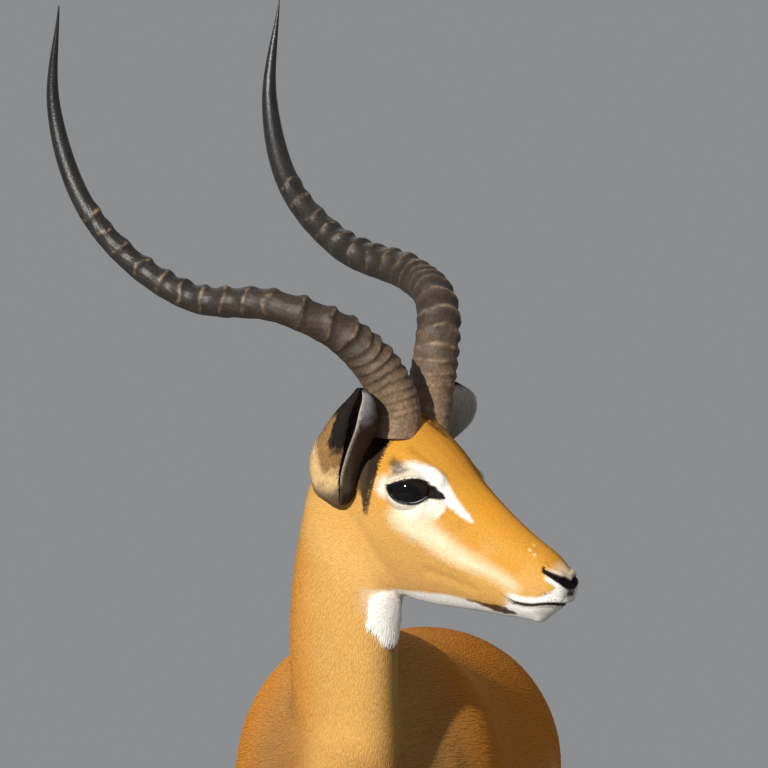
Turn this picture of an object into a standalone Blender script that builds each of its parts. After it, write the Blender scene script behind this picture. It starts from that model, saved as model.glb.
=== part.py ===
"""Impala ram, life size: it stands square on four legs with its head turned to its left.

Metres, +Z up. The animal faces -Y and its left side is +X. The origin is on the floor, under the middle
of the animal's box. The flesh is modelled whole from lofts and muscles that are fused, smoothed and then
parted by thin cuts. Horns, ears, eyes, tail and hooves are closed pieces of their own.
"""

import math

import bmesh
import bpy
import numpy as np

# ---- driving dimensions ----
GAP = 0.0003  # between pieces that meet
HORN_BASE = np.array((0.072, -0.360, 1.170))  # midway between the two horns, where they leave the skull
HEAD_TURN = math.radians(64)  # how far the head looks to its left
HEAD_DROP = math.radians(22)  # how far the nose points below level
EYE_RADIUS = 0.022
EYE_PLACE = (0.054, 0.0405, -0.059)  # along the head, to its side, above its axis
HORN_BASE_RADIUS = 0.0245
HORN_RIDGES = 21
# stagger of the feet, backward
STEPS = {("fore", 1): -0.030, ("fore", -1): 0.020, ("hind", 1): 0.030, ("hind", -1): -0.040}
SIDES = ((1, "L"), (-1, "R"))

FUSE_SIZE = 0.0062  # voxel of the fused flesh, in the stretched space
HEAD_STRETCH = 2.5  # how much finer the head is fused than the body
STRETCH_REACH = 0.16
FLESH_TRIANGLES = 2400

# ---- tables of sections ----
# distance along the head, top, bottom, half widths at 12, 35, 60 and 85 % of the depth (mm)
HEAD_SECTIONS = (
    (-62, -45, -110, 20, 30, 30, 18),
    (-45, -22, -140, 28, 44, 44, 27),
    (-20, -4, -160, 36, 52, 51, 32),
    (10, 5, -169, 41, 54, 52, 34),
    (40, -3, -174, 42, 55, 52, 33),
    (70, -14, -174, 37, 54, 49, 30),
    (100, -29, -168, 28, 42, 42, 26),
    (130, -40, -158.5, 22, 32, 36, 23),
    (160, -49.5, -149.5, 19, 27, 31, 21),
    (190, -57, -141.5, 18, 25, 28, 20),
    (215, -62.5, -135, 18, 26, 27, 19),
    (232, -70, -126, 16, 24, 24, 15),
    (243, -80, -113, 10, 15, 14, 9),
)
HEAD_DEPTHS = (0.12, 0.35, 0.60, 0.85)
# place along the body, back, belly, half width, height of the widest line
TRUNK_SECTIONS = (
    (-0.430, 0.790, 0.690, 0.036, 0.740),
    (-0.400, 0.825, 0.635, 0.050, 0.740),
    (-0.340, 0.875, 0.580, 0.066, 0.745),
    (-0.270, 0.925, 0.553, 0.094, 0.765),
    (-0.190, 0.945, 0.540, 0.1370, 0.785),
    (-0.100, 0.936, 0.537, 0.141, 0.765),
    (0.000, 0.917, 0.545, 0.145, 0.740),
    (0.090, 0.908, 0.562, 0.146, 0.735),
    (0.180, 0.910, 0.592, 0.151, 0.750),
    (0.270, 0.914, 0.640, 0.151, 0.765),
    (0.340, 0.902, 0.670, 0.130, 0.770),
    (0.400, 0.868, 0.705, 0.100, 0.775),
    (0.440, 0.815, 0.735, 0.060, 0.775),
)
# x, y, z of the middle, turn (degrees), reach to the front, reach to the back, half width
NECK_SECTIONS = (
    (0.000, -0.235, 0.690, 0, 0.130, 0.100, 0.070),
    (0.000, -0.270, 0.760, 0, 0.125, 0.095, 0.062),
    (0.000, -0.297, 0.830, 4, 0.105, 0.090, 0.060),
    (-0.003, -0.313, 0.895, 12, 0.088, 0.082, 0.059),
    (-0.003, -0.322, 0.960, 24, 0.076, 0.069, 0.060),
    (0.004, -0.328, 1.020, 38, 0.072, 0.062, 0.0575),
    (0.012, -0.332, 1.070, 50, 0.070, 0.058, 0.055),
    (0.022, -0.335, 1.115, 60, 0.062, 0.050, 0.050),
    (0.035, -0.340, 1.145, 64, 0.045, 0.035, 0.040),
)
# x, y, z, fore-and-aft radius, sideways radius
FORELEG_SECTIONS = (
    (0.075, -0.285, 0.660, 0.060, 0.040),
    (0.088, -0.262, 0.585, 0.056, 0.036),
    (0.090, -0.262, 0.530, 0.042, 0.030),
    (0.088, -0.268, 0.470, 0.032, 0.026),
    (0.083, -0.272, 0.400, 0.024, 0.021),
    (0.080, -0.274, 0.355, 0.0215, 0.020),
    (0.079, -0.276, 0.325, 0.0235, 0.0225),
    (0.078, -0.275, 0.295, 0.0195, 0.0200),
    (0.077, -0.272, 0.255, 0.0150, 0.0145),
    (0.076, -0.268, 0.180, 0.0145, 0.0135),
    (0.075, -0.264, 0.125, 0.0165, 0.0150),
    (0.075, -0.264, 0.098, 0.0205, 0.0185),
    (0.075, -0.272, 0.070, 0.0165, 0.0165),
    (0.075, -0.285, 0.042, 0.0175, 0.0195),
    (0.075, -0.292, 0.026, 0.0175, 0.0195),
)
HINDLEG_SECTIONS = (
    (0.075, 0.285, 0.740, 0.090, 0.050),
    (0.098, 0.205, 0.625, 0.075, 0.045),
    (0.095, 0.255, 0.530, 0.062, 0.040),
    (0.088, 0.315, 0.460, 0.040, 0.030),
    (0.083, 0.360, 0.410, 0.030, 0.022),
    (0.080, 0.388, 0.372, 0.031, 0.0215),
    (0.079, 0.388, 0.335, 0.0235, 0.0190),
    (0.078, 0.380, 0.290, 0.0165, 0.0155),
    (0.077, 0.372, 0.210, 0.0150, 0.0140),
    (0.076, 0.364, 0.140, 0.0165, 0.0150),
    (0.076, 0.362, 0.105, 0.0205, 0.0185),
    (0.076, 0.352, 0.074, 0.0165, 0.0165),
    (0.076, 0.338, 0.044, 0.0175, 0.0195),
    (0.076, 0.331, 0.026, 0.0175, 0.0195),
)
# x, y, z, radius
TAIL_SECTIONS = (
    (0.0, 0.400, 0.858, 0.022),
    (0.0, 0.444, 0.838, 0.022),
    (0.0, 0.470, 0.790, 0.020),
    (0.0, 0.476, 0.720, 0.023),
    (0.0, 0.473, 0.640, 0.022),
    (0.0, 0.468, 0.575, 0.013),
    (0.0, 0.466, 0.545, 0.004),
)
# forward, outward and upward of HORN_BASE (mm), along each horn
HORN_LINES = {
    1: ((0, 28, 0), (-13, 65, 97), (-89, 130, 132), (-186, 149, 160), (-262, 164, 221), (-299, 182, 305),
        (-294, 192, 411)),
    -1: ((0, 28, 0), (-27, 74, 75), (-77, 118, 106), (-175, 139, 116), (-270, 170, 193), (-309, 183, 305),
         (-296, 192, 406)),
}
# share of the horn's length, share of its base radius
HORN_TAPER = {
    1: ((0, 1.03), (0.1, 0.92), (0.27, 0.77), (0.44, 0.64), (0.64, 0.45), (0.8, 0.31), (1, 0.03)),
    -1: ((0, 1.03), (0.1, 0.91), (0.27, 0.67), (0.44, 0.53), (0.64, 0.37), (0.8, 0.27), (1, 0.03)),
}
# up, forward and outward of HORN_BASE, reach to the back, outside, inside and front edge (mm),
# and the half opening of the slit (degrees)
EAR_SECTIONS = (
    (-92, -50, 56, 8, 8, 8, 8, 6),
    (-84, -51, 58, 18, 18, 16, 18, 7),
    (-64, -50, 61, 28, 24, 19, 25, 9),
    (-38, -42, 65, 32, 27, 18, 34, 12),
    (-12, -31, 71, 23, 19, 16, 47, 16),
    (5, -22, 76, 15, 11, 13, 40, 20),
    (18, -13, 79, 8, 6, 8, 25, 26),
    (27, -8, 80, 4, 4, 3, 5, 30),
)
EAR_SLIT = 58  # middle of the slit, in degrees from forward towards outward
EAR_WALL = 0.0035


# ---- curves and surfaces ----
def blended(rows, knots, at):
    """Rows of numbers carried smoothly through their knots, read at the places in at."""
    rows, knots = np.array(rows, float), np.array(knots, float)
    slopes = np.gradient(rows, knots, axis=0)
    i = np.clip(np.searchsorted(knots, at, side="right") - 1, 0, len(knots) - 2)
    width = (knots[i + 1] - knots[i])[:, None]
    t = (at - knots[i])[:, None] / width
    start, end = 2 * t**3 - 3 * t**2 + 1, 3 * t**2 - 2 * t**3
    leave, arrive = t**3 - 2 * t**2 + t, t**3 - t**2
    return start * rows[i] + end * rows[i + 1] + width * (leave * slopes[i] + arrive * slopes[i + 1])


def along(rows, spacing):
    """Rows that start with x, y, z, read about every spacing metres along their line."""
    rows = np.array(rows, float)
    knots = np.concatenate(([0], np.cumsum(np.linalg.norm(np.diff(rows[:, :3], axis=0), axis=1))))
    return blended(rows, knots, np.linspace(0, knots[-1], int(knots[-1] / spacing) + 2))


def head_point(forward, side, up):
    """A point given along the head's own axis, to its left and above that axis, from HORN_BASE."""
    level = math.cos(HEAD_DROP) * forward + math.sin(HEAD_DROP) * up
    rise = math.cos(HEAD_DROP) * up - math.sin(HEAD_DROP) * forward
    return level_point(level, side, rise)


def level_point(forward, side, up):
    """A point given level with the ground: where the head looks, to its left and up, from HORN_BASE."""
    ahead = np.array((math.sin(HEAD_TURN), -math.cos(HEAD_TURN), 0))
    left = np.array((math.cos(HEAD_TURN), math.sin(HEAD_TURN), 0))
    return HORN_BASE + forward * ahead + side * left + up * np.array((0, 0, 1))


def loft(name, rings, folded=False):
    """A closed mesh through rings of equally many points. Each end gets a fan of faces, or where a ring
    runs out along a wall and back along its other face, a strip between the two."""
    bm = bmesh.new()
    rows = [[bm.verts.new(p) for p in ring] for ring in rings]
    count = len(rows[0])
    for low, high in zip(rows, rows[1:]):
        for i in range(count):
            j = (i + 1) % count
            bm.faces.new((low[i], low[j], high[j], high[i]))
    for row in (rows[0], rows[-1]):
        if folded:
            for i in range(count // 2 - 1):
                bm.faces.new((row[i], row[i + 1], row[count - 2 - i], row[count - 1 - i]))
            continue
        middle = bm.verts.new(np.mean([v.co for v in row], axis=0))
        for i in range(count):
            bm.faces.new((row[i], row[(i + 1) % count], middle))
    bmesh.ops.recalc_face_normals(bm, faces=bm.faces)
    return object_of(name, bm)


def object_of(name, bm):
    mesh = bpy.data.meshes.new(name)
    bm.to_mesh(mesh)
    bm.free()
    obj = bpy.data.objects.new(name, mesh)
    bpy.context.scene.collection.objects.link(obj)
    return obj


def oval(middle, across, ahead, width, front, back, count=28):
    """A ring round middle: half widths along across, and reaches along ahead and against it."""
    turn = np.linspace(0, 2 * math.pi, count, endpoint=False)
    reach = np.where(np.sin(turn) > 0, front, back)
    return middle + np.outer(width * np.cos(turn), across) + np.outer(reach * np.sin(turn), ahead)


def ball(name, centre, radii, segments=24):
    bm = bmesh.new()
    bmesh.ops.create_uvsphere(bm, u_segments=segments, v_segments=segments // 2, radius=1)
    bmesh.ops.scale(bm, vec=radii, verts=bm.verts)
    bmesh.ops.translate(bm, vec=centre, verts=bm.verts)
    return object_of(name, bm)


def capsule(name, start, end, start_radius, end_radius, thin=1.0):
    """A round-ended bar between two points, its sideways thickness scaled by thin."""
    start, end = np.array(start, float), np.array(end, float)
    axis = (end - start) / np.linalg.norm(end - start)
    across = np.array((1, 0, 0)) - axis[0] * axis
    across /= np.linalg.norm(across)
    ahead = np.cross(axis, across)
    rings = []
    for turn in np.linspace(0.08, math.pi - 0.08, 16):
        at_start = turn < math.pi / 2
        centre, radius = (start, start_radius) if at_start else (end, end_radius)
        middle = centre - math.cos(turn) * radius * axis
        wide = math.sin(turn) * radius
        rings.append(oval(middle, across, ahead, wide * thin, wide, wide, 20))
    return loft(name, rings)


# ---- the flesh ----
def head_ring(row):
    """One section of the head, through its top, four points down each side and its bottom."""
    place, top, bottom, *widths = row
    side = [(0, top)] + [(w, top - d * (top - bottom)) for w, d in zip(widths, HEAD_DEPTHS)] + [(0, bottom)]
    whole = side + [(-w, v) for w, v in side[-2:0:-1]]
    looped = whole[-2:] + whole + whole[:3]
    smooth = blended(looped, np.arange(len(looped)), np.linspace(2, 2 + len(whole), 40, endpoint=False))
    return [head_point(place / 1000, w / 1000, v / 1000) for w, v in smooth]


def head_forms():
    places = [row[0] for row in HEAD_SECTIONS]
    fine = blended(HEAD_SECTIONS, places, np.linspace(places[0], places[-1], 40))
    forms = [loft("skull", [head_ring(row) for row in fine])]
    for side, _ in SIDES:
        forms.append(capsule("pedicle", head_point(-0.010, side * 0.022, -0.030),
                             head_point(0.000, side * 0.026, -0.006), 0.024, 0.020))
        forms.append(capsule("brow", head_point(0.036, side * 0.037, -0.034),
                             head_point(0.074, side * 0.033, -0.043), 0.014, 0.012))
        forms.append(ball("nostril_wing", head_point(0.228, side * 0.012, -0.084), (0.0135,) * 3))
    forms.append(ball("upper_lip", head_point(0.231, 0, -0.100), (0.015,) * 3))
    forms.append(ball("chin", head_point(0.218, 0, -0.119), (0.016,) * 3))
    return forms


def trunk_form():
    places = np.array([row[0] for row in TRUNK_SECTIONS])
    across, up = np.array((1, 0, 0)), np.array((0, 0, 1))
    rings = []
    for row in blended(TRUNK_SECTIONS, places, np.linspace(places[0], places[-1], 60)):
        place, back, belly, width, middle = row
        rings.append(oval(np.array((0, place, middle)), across, up, width, back - middle, middle - belly, 48))
    return loft("trunk", rings)


def neck_form():
    rings = []
    for x, y, z, turn, front, back, width in along(NECK_SECTIONS, 0.012):
        turn = math.radians(turn)
        ahead = np.array((math.sin(turn), -math.cos(turn), 0))
        across = np.array((math.cos(turn), math.sin(turn), 0))
        rings.append(oval(np.array((x, y, z)), across, ahead, width, front, back, 36))
    return loft("neck", rings)


def leg_form(name, rows, side, step):
    """A leg from its sections, its foot moved fore or aft by step and the shift fading out at the top."""
    rings = []
    top = rows[0][2]
    for x, y, z, deep, wide in along(rows, 0.010):
        middle = np.array((side * x, y + step * (1 - z / top), z))
        rings.append(oval(middle, np.array((1, 0, 0)), np.array((0, -1, 0)), wide, deep, deep, 24))
    return loft(name, rings)


# name, outward, along and up of one end, then of the other, radius at each end, sideways thickness
MUSCLES = (
    ("scapula", (0.074, -0.180, 0.850), (0.086, -0.258, 0.690), 0.062, 0.060, 0.60),
    ("triceps", (0.088, -0.205, 0.730), (0.090, -0.240, 0.600), 0.066, 0.054, 0.65),
    ("thigh", (0.080, 0.225, 0.770), (0.100, 0.195, 0.640), 0.075, 0.060, 0.75),
    ("hamstring", (0.060, 0.375, 0.775), (0.092, 0.288, 0.555), 0.062, 0.046, 0.75),
    ("flank_fold", (0.100, 0.160, 0.655), (0.096, 0.085, 0.645), 0.045, 0.036, 0.60),
)


def muscle_forms():
    forms = []
    for side, _ in SIDES:
        outward = np.array((side, 1, 1))
        forms += [capsule(name, outward * start, outward * end, first, last, thin)
                  for name, start, end, first, last, thin in MUSCLES]
        forms.append(ball("brisket", (side * 0.022, -0.345, 0.675), (0.056, 0.070, 0.090)))
        forms.append(ball("croup", (side * 0.060, 0.290, 0.790), (0.070, 0.120, 0.100)))
    return forms


def heel_form(side, step):
    """The point of the hock and the tendon that runs up from it."""
    lift = HINDLEG_SECTIONS[0][2]
    low = (side * 0.080, 0.410 + step * (1 - 0.40 / lift), 0.402)
    high = (side * 0.090, 0.312 + step * (1 - 0.52 / lift), 0.520)
    return capsule("heel", low, high, 0.0130, 0.018)


def flesh_forms():
    forms = head_forms() + [trunk_form(), neck_form()] + muscle_forms()
    for side, _ in SIDES:
        forms.append(leg_form("foreleg", FORELEG_SECTIONS, side, STEPS["fore", side]))
        forms.append(leg_form("hindleg", HINDLEG_SECTIONS, side, STEPS["hind", side]))
        forms.append(heel_form(side, STEPS["hind", side]))
    return forms


def stretched(points, inverse=False):
    """Points drawn apart round the middle of the head, so that one voxel size is finer there."""
    middle = head_point(0.09, 0, -0.08)
    away = points - middle
    reach = np.linalg.norm(away, axis=1)
    near = np.linspace(0, 3, 6000)
    far = near + HEAD_STRETCH * STRETCH_REACH * (1 - np.exp(-near / STRETCH_REACH))
    new = np.interp(reach, far, near) if inverse else np.interp(reach, near, far)
    return middle + away * (new / np.maximum(reach, 1e-9))[:, None]


def points_of(mesh):
    flat = np.empty(len(mesh.vertices) * 3, np.float32)
    mesh.vertices.foreach_get("co", flat)
    return flat.reshape(-1, 3).astype(float)


def set_points(mesh, points):
    mesh.vertices.foreach_set("co", points.astype(np.float32).ravel())
    mesh.update()


def smoothed(mesh, passes, weight, push=-0.56):
    """Evens the surface out; push, against the shrinking, is 0 where forms have to run into each other.
    weight, from 0 to 1, says how much at each point."""
    edges = np.empty(len(mesh.edges) * 2, np.int64)
    mesh.edges.foreach_get("vertices", edges)
    a, b = edges.reshape(-1, 2).T
    points = points_of(mesh)
    count = np.bincount(np.concatenate((a, b)), minlength=len(points))[:, None]
    for step in [0.6, push] * passes:
        total = np.zeros_like(points)
        np.add.at(total, a, points[b])
        np.add.at(total, b, points[a])
        points += step * weight[:, None] * (total / count - points)
    set_points(mesh, points)


def evaluated(obj):
    """The object with its modifiers applied, as a new mesh on the same object."""
    graph = bpy.context.evaluated_depsgraph_get()
    mesh = bpy.data.meshes.new_from_object(obj.evaluated_get(graph))
    obj.modifiers.clear()
    obj.data = mesh
    return obj


def joined(name, objects):
    bm = bmesh.new()
    for obj in objects:
        bm.from_mesh(obj.data)
        bpy.data.objects.remove(obj)
    return object_of(name, bm)


def fused_flesh():
    """All the forms as one smooth closed skin of about FLESH_TRIANGLES."""
    flesh = joined("flesh", flesh_forms())
    set_points(flesh.data, stretched(points_of(flesh.data)))
    fuse = flesh.modifiers.new("fuse", "REMESH")
    fuse.mode = "VOXEL"
    fuse.voxel_size = FUSE_SIZE
    evaluated(flesh)
    points = points_of(flesh.data)
    from_head = np.linalg.norm(stretched(points, inverse=True) - head_point(0.09, 0, -0.08), axis=1)
    body = np.clip((from_head - 0.13) / 0.08, 0, 1)
    trunk = np.clip((stretched(points, inverse=True)[:, 2] - 0.42) / 0.16, 0, 1)
    smoothed(flesh.data, 32, trunk * body, push=0)
    smoothed(flesh.data, 40, 0.45 * (1 - body) + body * (0.06 + 0.94 * trunk))
    reduce = flesh.modifiers.new("reduce", "DECIMATE")
    reduce.ratio = FLESH_TRIANGLES / (2 * len(flesh.data.polygons))
    evaluated(flesh)
    set_points(flesh.data, stretched(points_of(flesh.data), inverse=True))
    return flesh


# ---- cuts ----
def boolean(obj, cutter, operation="DIFFERENCE"):
    cut = obj.modifiers.new("cut", "BOOLEAN")
    cut.operation = operation
    cut.object = cutter
    return evaluated(obj)


def copied(obj, name):
    twin = bpy.data.objects.new(name, obj.data.copy())
    bpy.context.scene.collection.objects.link(twin)
    return twin


def grown(obj, amount):
    """A copy of the object with its skin moved out, for cutting what lies against it."""
    twin = copied(obj, obj.name + "_grown")
    normals = np.empty(len(twin.data.vertices) * 3, np.float32)
    twin.data.vertices.foreach_get("normal", normals)
    set_points(twin.data, points_of(twin.data) + amount * normals.reshape(-1, 3))
    return twin


def largest_body(obj):
    """Drops the slivers that a cut leaves, keeping the largest connected part."""
    bm = bmesh.new()
    bm.from_mesh(obj.data)
    left, bodies = set(bm.verts), []
    while left:
        seed = left.pop()
        body, front = {seed}, [seed]
        while front:
            for edge in front.pop().link_edges:
                for vert in edge.verts:
                    if vert not in body:
                        body.add(vert)
                        front.append(vert)
        left -= body
        bodies.append(body)
    bodies.sort(key=len)
    for body in bodies[:-1]:
        bmesh.ops.delete(bm, geom=list(body), context="VERTS")
    bm.to_mesh(obj.data)
    bm.free()
    return obj


def half(obj, name, place, direction):
    """What is left of a copy of the object on the side that direction points to, its cut face filled."""
    twin = copied(obj, name)
    bm = bmesh.new()
    bm.from_mesh(twin.data)
    made = bmesh.ops.bisect_plane(bm, geom=bm.verts[:] + bm.edges[:] + bm.faces[:], plane_co=place,
                                  plane_no=direction, clear_inner=True)
    rim = [e for e in made["geom_cut"] if isinstance(e, bmesh.types.BMEdge)]
    bmesh.ops.holes_fill(bm, edges=rim)
    bmesh.ops.triangulate(bm, faces=[f for f in bm.faces if len(f.verts) > 4])
    bmesh.ops.recalc_face_normals(bm, faces=bm.faces)
    bm.to_mesh(twin.data)
    bm.free()
    return twin


def parted(obj, name, rest_name, place, direction):
    """Parts the object at a plane: what lies on direction's side, and the rest."""
    place, direction = np.array(place, float), np.array(direction, float)
    direction /= np.linalg.norm(direction)
    piece = half(obj, name, place + direction * GAP / 2, direction)
    rest = half(obj, rest_name, place - direction * GAP / 2, -direction)
    bpy.data.objects.remove(obj)
    return piece, rest


def dome(name, centre, half_sizes, shoulder, top, gap=0.0):
    """An upright block with rounded sides and a domed top, which takes a leg out of the body."""
    turn = np.linspace(0, 2 * math.pi, 16, endpoint=False)
    square = np.stack((np.sign(np.cos(turn)) * np.abs(np.cos(turn)) ** 0.6,
                       np.sign(np.sin(turn)) * np.abs(np.sin(turn)) ** 0.6), axis=1)
    rings = []
    for rise in (-0.5, 0, 0.5, 0.8, 0.97):
        z = shoulder + max(rise, 0) * (top + gap - shoulder) if rise >= 0 else -0.05
        scale = math.sqrt(1 - max(rise, 0) ** 2)
        size = (np.array(half_sizes) + gap) * scale
        rings.append(np.column_stack((np.array(centre) + square * size, np.full(len(turn), z))))
    return loft(name, rings)


# ---- horns, ears, tail, eyes, hooves ----
def horn_radius(side, share):
    places, scales = np.array(HORN_TAPER[side]).T
    return HORN_BASE_RADIUS * blended(scales[:, None], places, share)[:, 0]


def horn(side, name):
    """A lyre-shaped horn: its line, its taper and the ridges of its lower two thirds."""
    line = [level_point(n / 1000, side * l / 1000, u / 1000) for n, l, u in HORN_LINES[side]]
    foot = level_point(-0.002, side * 0.026, -0.022)
    fine = along([foot] + line, 0.0015)
    length = np.concatenate(([0], np.cumsum(np.linalg.norm(np.diff(fine, axis=0), axis=1))))
    ridged = 0.66 * length[-1]
    marks = []
    for i in range(HORN_RIDGES):
        share = ((i + 0.6) / HORN_RIDGES) ** 0.92
        next_share = ((i + 1.6) / HORN_RIDGES) ** 0.92
        height = 0.0020 * (1 - 0.55 * share)
        marks += [(ridged * share, height), (ridged * (share + 0.62 * (next_share - share)), -0.4 * height)]
    smooth = [(ridged + share * (length[-1] - ridged), 0.0) for share in np.linspace(0.12, 1, 8)]
    marks = [(0.0, 0.0)] + marks + smooth
    rings = []
    up = np.array((0, 0, 1.0))
    for place, swell in marks:
        middle = np.array([np.interp(place, length, fine[:, k]) for k in range(3)])
        ahead = np.array([np.interp(min(place + 0.004, length[-1]), length, fine[:, k]) for k in range(3)])
        behind = np.array([np.interp(max(place - 0.004, 0), length, fine[:, k]) for k in range(3)])
        axis = (ahead - behind) / np.linalg.norm(ahead - behind)
        across = np.cross(axis, up if abs(axis[2]) < 0.9 else np.array((0, 1.0, 0)))
        if rings:
            across = last_across - axis * (axis @ last_across)
        across /= np.linalg.norm(across)
        last_across = across
        radius = horn_radius(side, np.array([place / length[-1]]))[0] + swell
        rings.append(oval(middle, across, np.cross(axis, across), radius, radius, radius, 7))
    return loft(name, rings)


def ear_ring(row, side, count=8):
    """One section of the ear: a wall that starts at the front edge, runs round the inside and the back,
    and ends at the slit's other edge, then comes back along its inner face."""
    up, forward, outward, back, outside, inside, edge, slit = row
    start, end = EAR_SLIT - slit, EAR_SLIT + slit - 360
    turn = np.linspace(start, end, count)
    places = (end - 1, -270, -180, -90, start + 1)
    reaches = (outside, outside, back, inside, edge)
    order = np.argsort(places)
    reach = np.interp(turn, np.array(places)[order], np.array(reaches)[order])
    kernel = np.array((1, 2, 1)) / 4
    reach[1:-1] = np.convolve(reach, kernel, "same")[1:-1]
    wall = np.minimum(EAR_WALL * 1000, 0.6 * reach)
    ring = []
    for angles, reaches in ((turn, reach), (turn[::-1], (reach - wall)[::-1])):
        for a, r in zip(np.radians(angles), reaches):
            ring.append(level_point((forward + r * math.cos(a)) / 1000,
                                    side * (outward + r * math.sin(a)) / 1000, up / 1000))
    return ring


def ear(side, name):
    heights = np.array([row[0] for row in EAR_SECTIONS], float)
    fine = blended(EAR_SECTIONS, heights, np.linspace(heights[0], heights[-1], 10))
    return loft(name, [ear_ring(row, side) for row in fine], folded=True)


def tail(name):
    rings = []
    for x, y, z, radius in along(TAIL_SECTIONS, 0.030):
        middle = np.array((x, y, z))
        across, back = np.array((1, 0, 0)), np.array((0, 0.87, 0.5))
        rings.append(oval(middle, across, back, radius, radius * 0.8, radius * 0.8, 8))
    return loft(name, rings)


def eye(side, name):
    return ball(name, head_point(EYE_PLACE[0], side * EYE_PLACE[1], EYE_PLACE[2]), (EYE_RADIUS,) * 3, 12)


HOOF_LENGTH, HOOF_WIDTH, HOOF_SPLIT = 0.060, 0.0215, 0.0034
CORONET_FRONT, CORONET_BACK = 0.040, 0.026  # height of the hoof's top at the toe side and at the heel
HOOF_LEAN = 0.012  # how far the top sits behind the sole


def hoof_outline(length, width, count=16):
    """Half of a cloven hoof from above: straight along the cleft, bowed outside, pointed at the toe."""
    outline = []
    for t in np.linspace(0, 1, count // 2 + 1):
        outline.append((0.0, (0.5 - t) * length))
    for t in np.linspace(0, 1, count // 2 + 1)[1:-1]:
        bow = math.sin(math.pi * t**1.3) ** 0.62
        outline.append((width * bow, (t - 0.5) * length))
    return np.array(outline)


def hoof(name, foot, side, outer):
    """One claw: flat sole on the floor, its wall leaning back up to the coronet."""
    toward = side if outer else -side
    sole, crown = hoof_outline(HOOF_LENGTH, HOOF_WIDTH), hoof_outline(0.045, 0.0165)
    rings = []
    for share in (0.0, 0.12, 0.55, 1.0):
        flat = sole + (crown - sole) * share ** 1.2
        x = foot[0] + toward * (HOOF_SPLIT / 2 + flat[:, 0])
        back = flat[:, 1] + HOOF_LEAN * share
        lean = 0.5 - flat[:, 1] / HOOF_LENGTH
        top = CORONET_BACK + (CORONET_FRONT - CORONET_BACK) * np.clip(lean, 0, 1)
        rings.append(np.column_stack((x, foot[1] + back, share * (top - GAP))))
    return loft(name, rings)


# ---- materials ----
COLOURS = {
    "coat": ((0.47, 0.20, 0.065), 0.75),
    "face": ((0.52, 0.24, 0.08), 0.72),
    "belly": ((0.80, 0.74, 0.64), 0.80),
    "horn": ((0.055, 0.042, 0.034), 0.42),
    "eye": ((0.010, 0.007, 0.006), 0.05),
    "hoof": ((0.045, 0.038, 0.034), 0.35),
}


def material(name):
    found = bpy.data.materials.get(name)
    if found:
        return found
    colour, roughness = COLOURS[name]
    made = bpy.data.materials.new(name)
    made.use_nodes = True
    shader = made.node_tree.nodes["Principled BSDF"]
    shader.inputs["Base Color"].default_value = (*colour, 1)
    shader.inputs["Roughness"].default_value = roughness
    shader.inputs["Metallic"].default_value = 0
    return made


def dressed(obj, name, colour):
    """Names a finished piece, gives it its material and moves it to the animal's collection."""
    obj.name = name
    obj.data.materials.clear()
    obj.data.materials.append(material(colour))
    for collection in list(obj.users_collection):
        collection.objects.unlink(obj)
    bpy.data.collections["impala"].objects.link(obj)
    return obj


# ---- the animal ----
def leg_pieces(flesh, kind, side, letter):
    """Takes one leg out of the flesh and parts it at its joints; returns the rest of the flesh."""
    step = STEPS[kind, side]
    if kind == "fore":
        shape = ((side * 0.122, -0.262 + step * 0.3), (0.080, 0.088), 0.575, 0.675)
    else:
        shape = ((side * 0.118, 0.300 + step * 0.1), (0.090, 0.168), 0.640, 0.800)
    inner, outer = dome("leg_part", *shape), dome("leg_cut", *shape, gap=GAP)
    leg = largest_body(boolean(copied(flesh, "leg"), inner, "INTERSECT"))
    flesh = largest_body(boolean(flesh, outer))
    for cutter in (inner, outer):
        bpy.data.objects.remove(cutter)
    names, heights = {
        "fore": (("upper", "forearm", "cannon", "pastern"), (0.520, 0.322, 0.100)),
        "hind": (("thigh", "gaskin", "cannon", "pastern"), (0.560, 0.372, 0.105)),
    }[kind]
    pieces = []
    for name, height in zip(names, heights):
        piece, leg = parted(leg, "piece", "rest", (0, 0, height), (0, 0, 1))
        pieces.append((name, piece))
    pastern, stub = parted(leg, "piece", "rest", *coronet(kind, side))
    bpy.data.objects.remove(stub)
    pieces.append((names[-1], pastern))
    for name, piece in pieces:
        dressed(largest_body(piece), f"{kind}leg_{letter}_{name}", "coat")
    return flesh


def foot_place(kind, side):
    rows = FORELEG_SECTIONS if kind == "fore" else HINDLEG_SECTIONS
    x, y, z = rows[-1][:3]
    return np.array((side * x, y + STEPS[kind, side] * (1 - z / rows[0][2]) - 0.004, 0))


def coronet(kind, side):
    """The plane of the hoof's top: a point on it, and its normal."""
    slope = (CORONET_FRONT - CORONET_BACK) / HOOF_LENGTH
    foot = foot_place(kind, side)
    return (foot[0], foot[1] + HOOF_LEAN, (CORONET_FRONT + CORONET_BACK) / 2), (0, slope, 1)


def jaw_knife():
    """A thin bent sheet along the mouth, the cheek and the back of the jaw."""
    line = ((0.285, -0.111), (0.245, -0.113), (0.206, -0.123), (0.170, -0.127), (0.100, -0.138),
            (0.045, -0.147), (0.015, -0.162), (0.000, -0.260))
    bm = bmesh.new()
    rows = [[bm.verts.new(head_point(a, side, v)) for a, v in line] for side in (-0.09, 0.09)]
    for i in range(len(line) - 1):
        bm.faces.new((rows[0][i], rows[0][i + 1], rows[1][i + 1], rows[1][i]))
    sheet = object_of("jaw_knife", bm)
    thick = sheet.modifiers.new("thick", "SOLIDIFY")
    thick.thickness = GAP * 1.4
    thick.offset = 0
    return evaluated(sheet)


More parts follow.
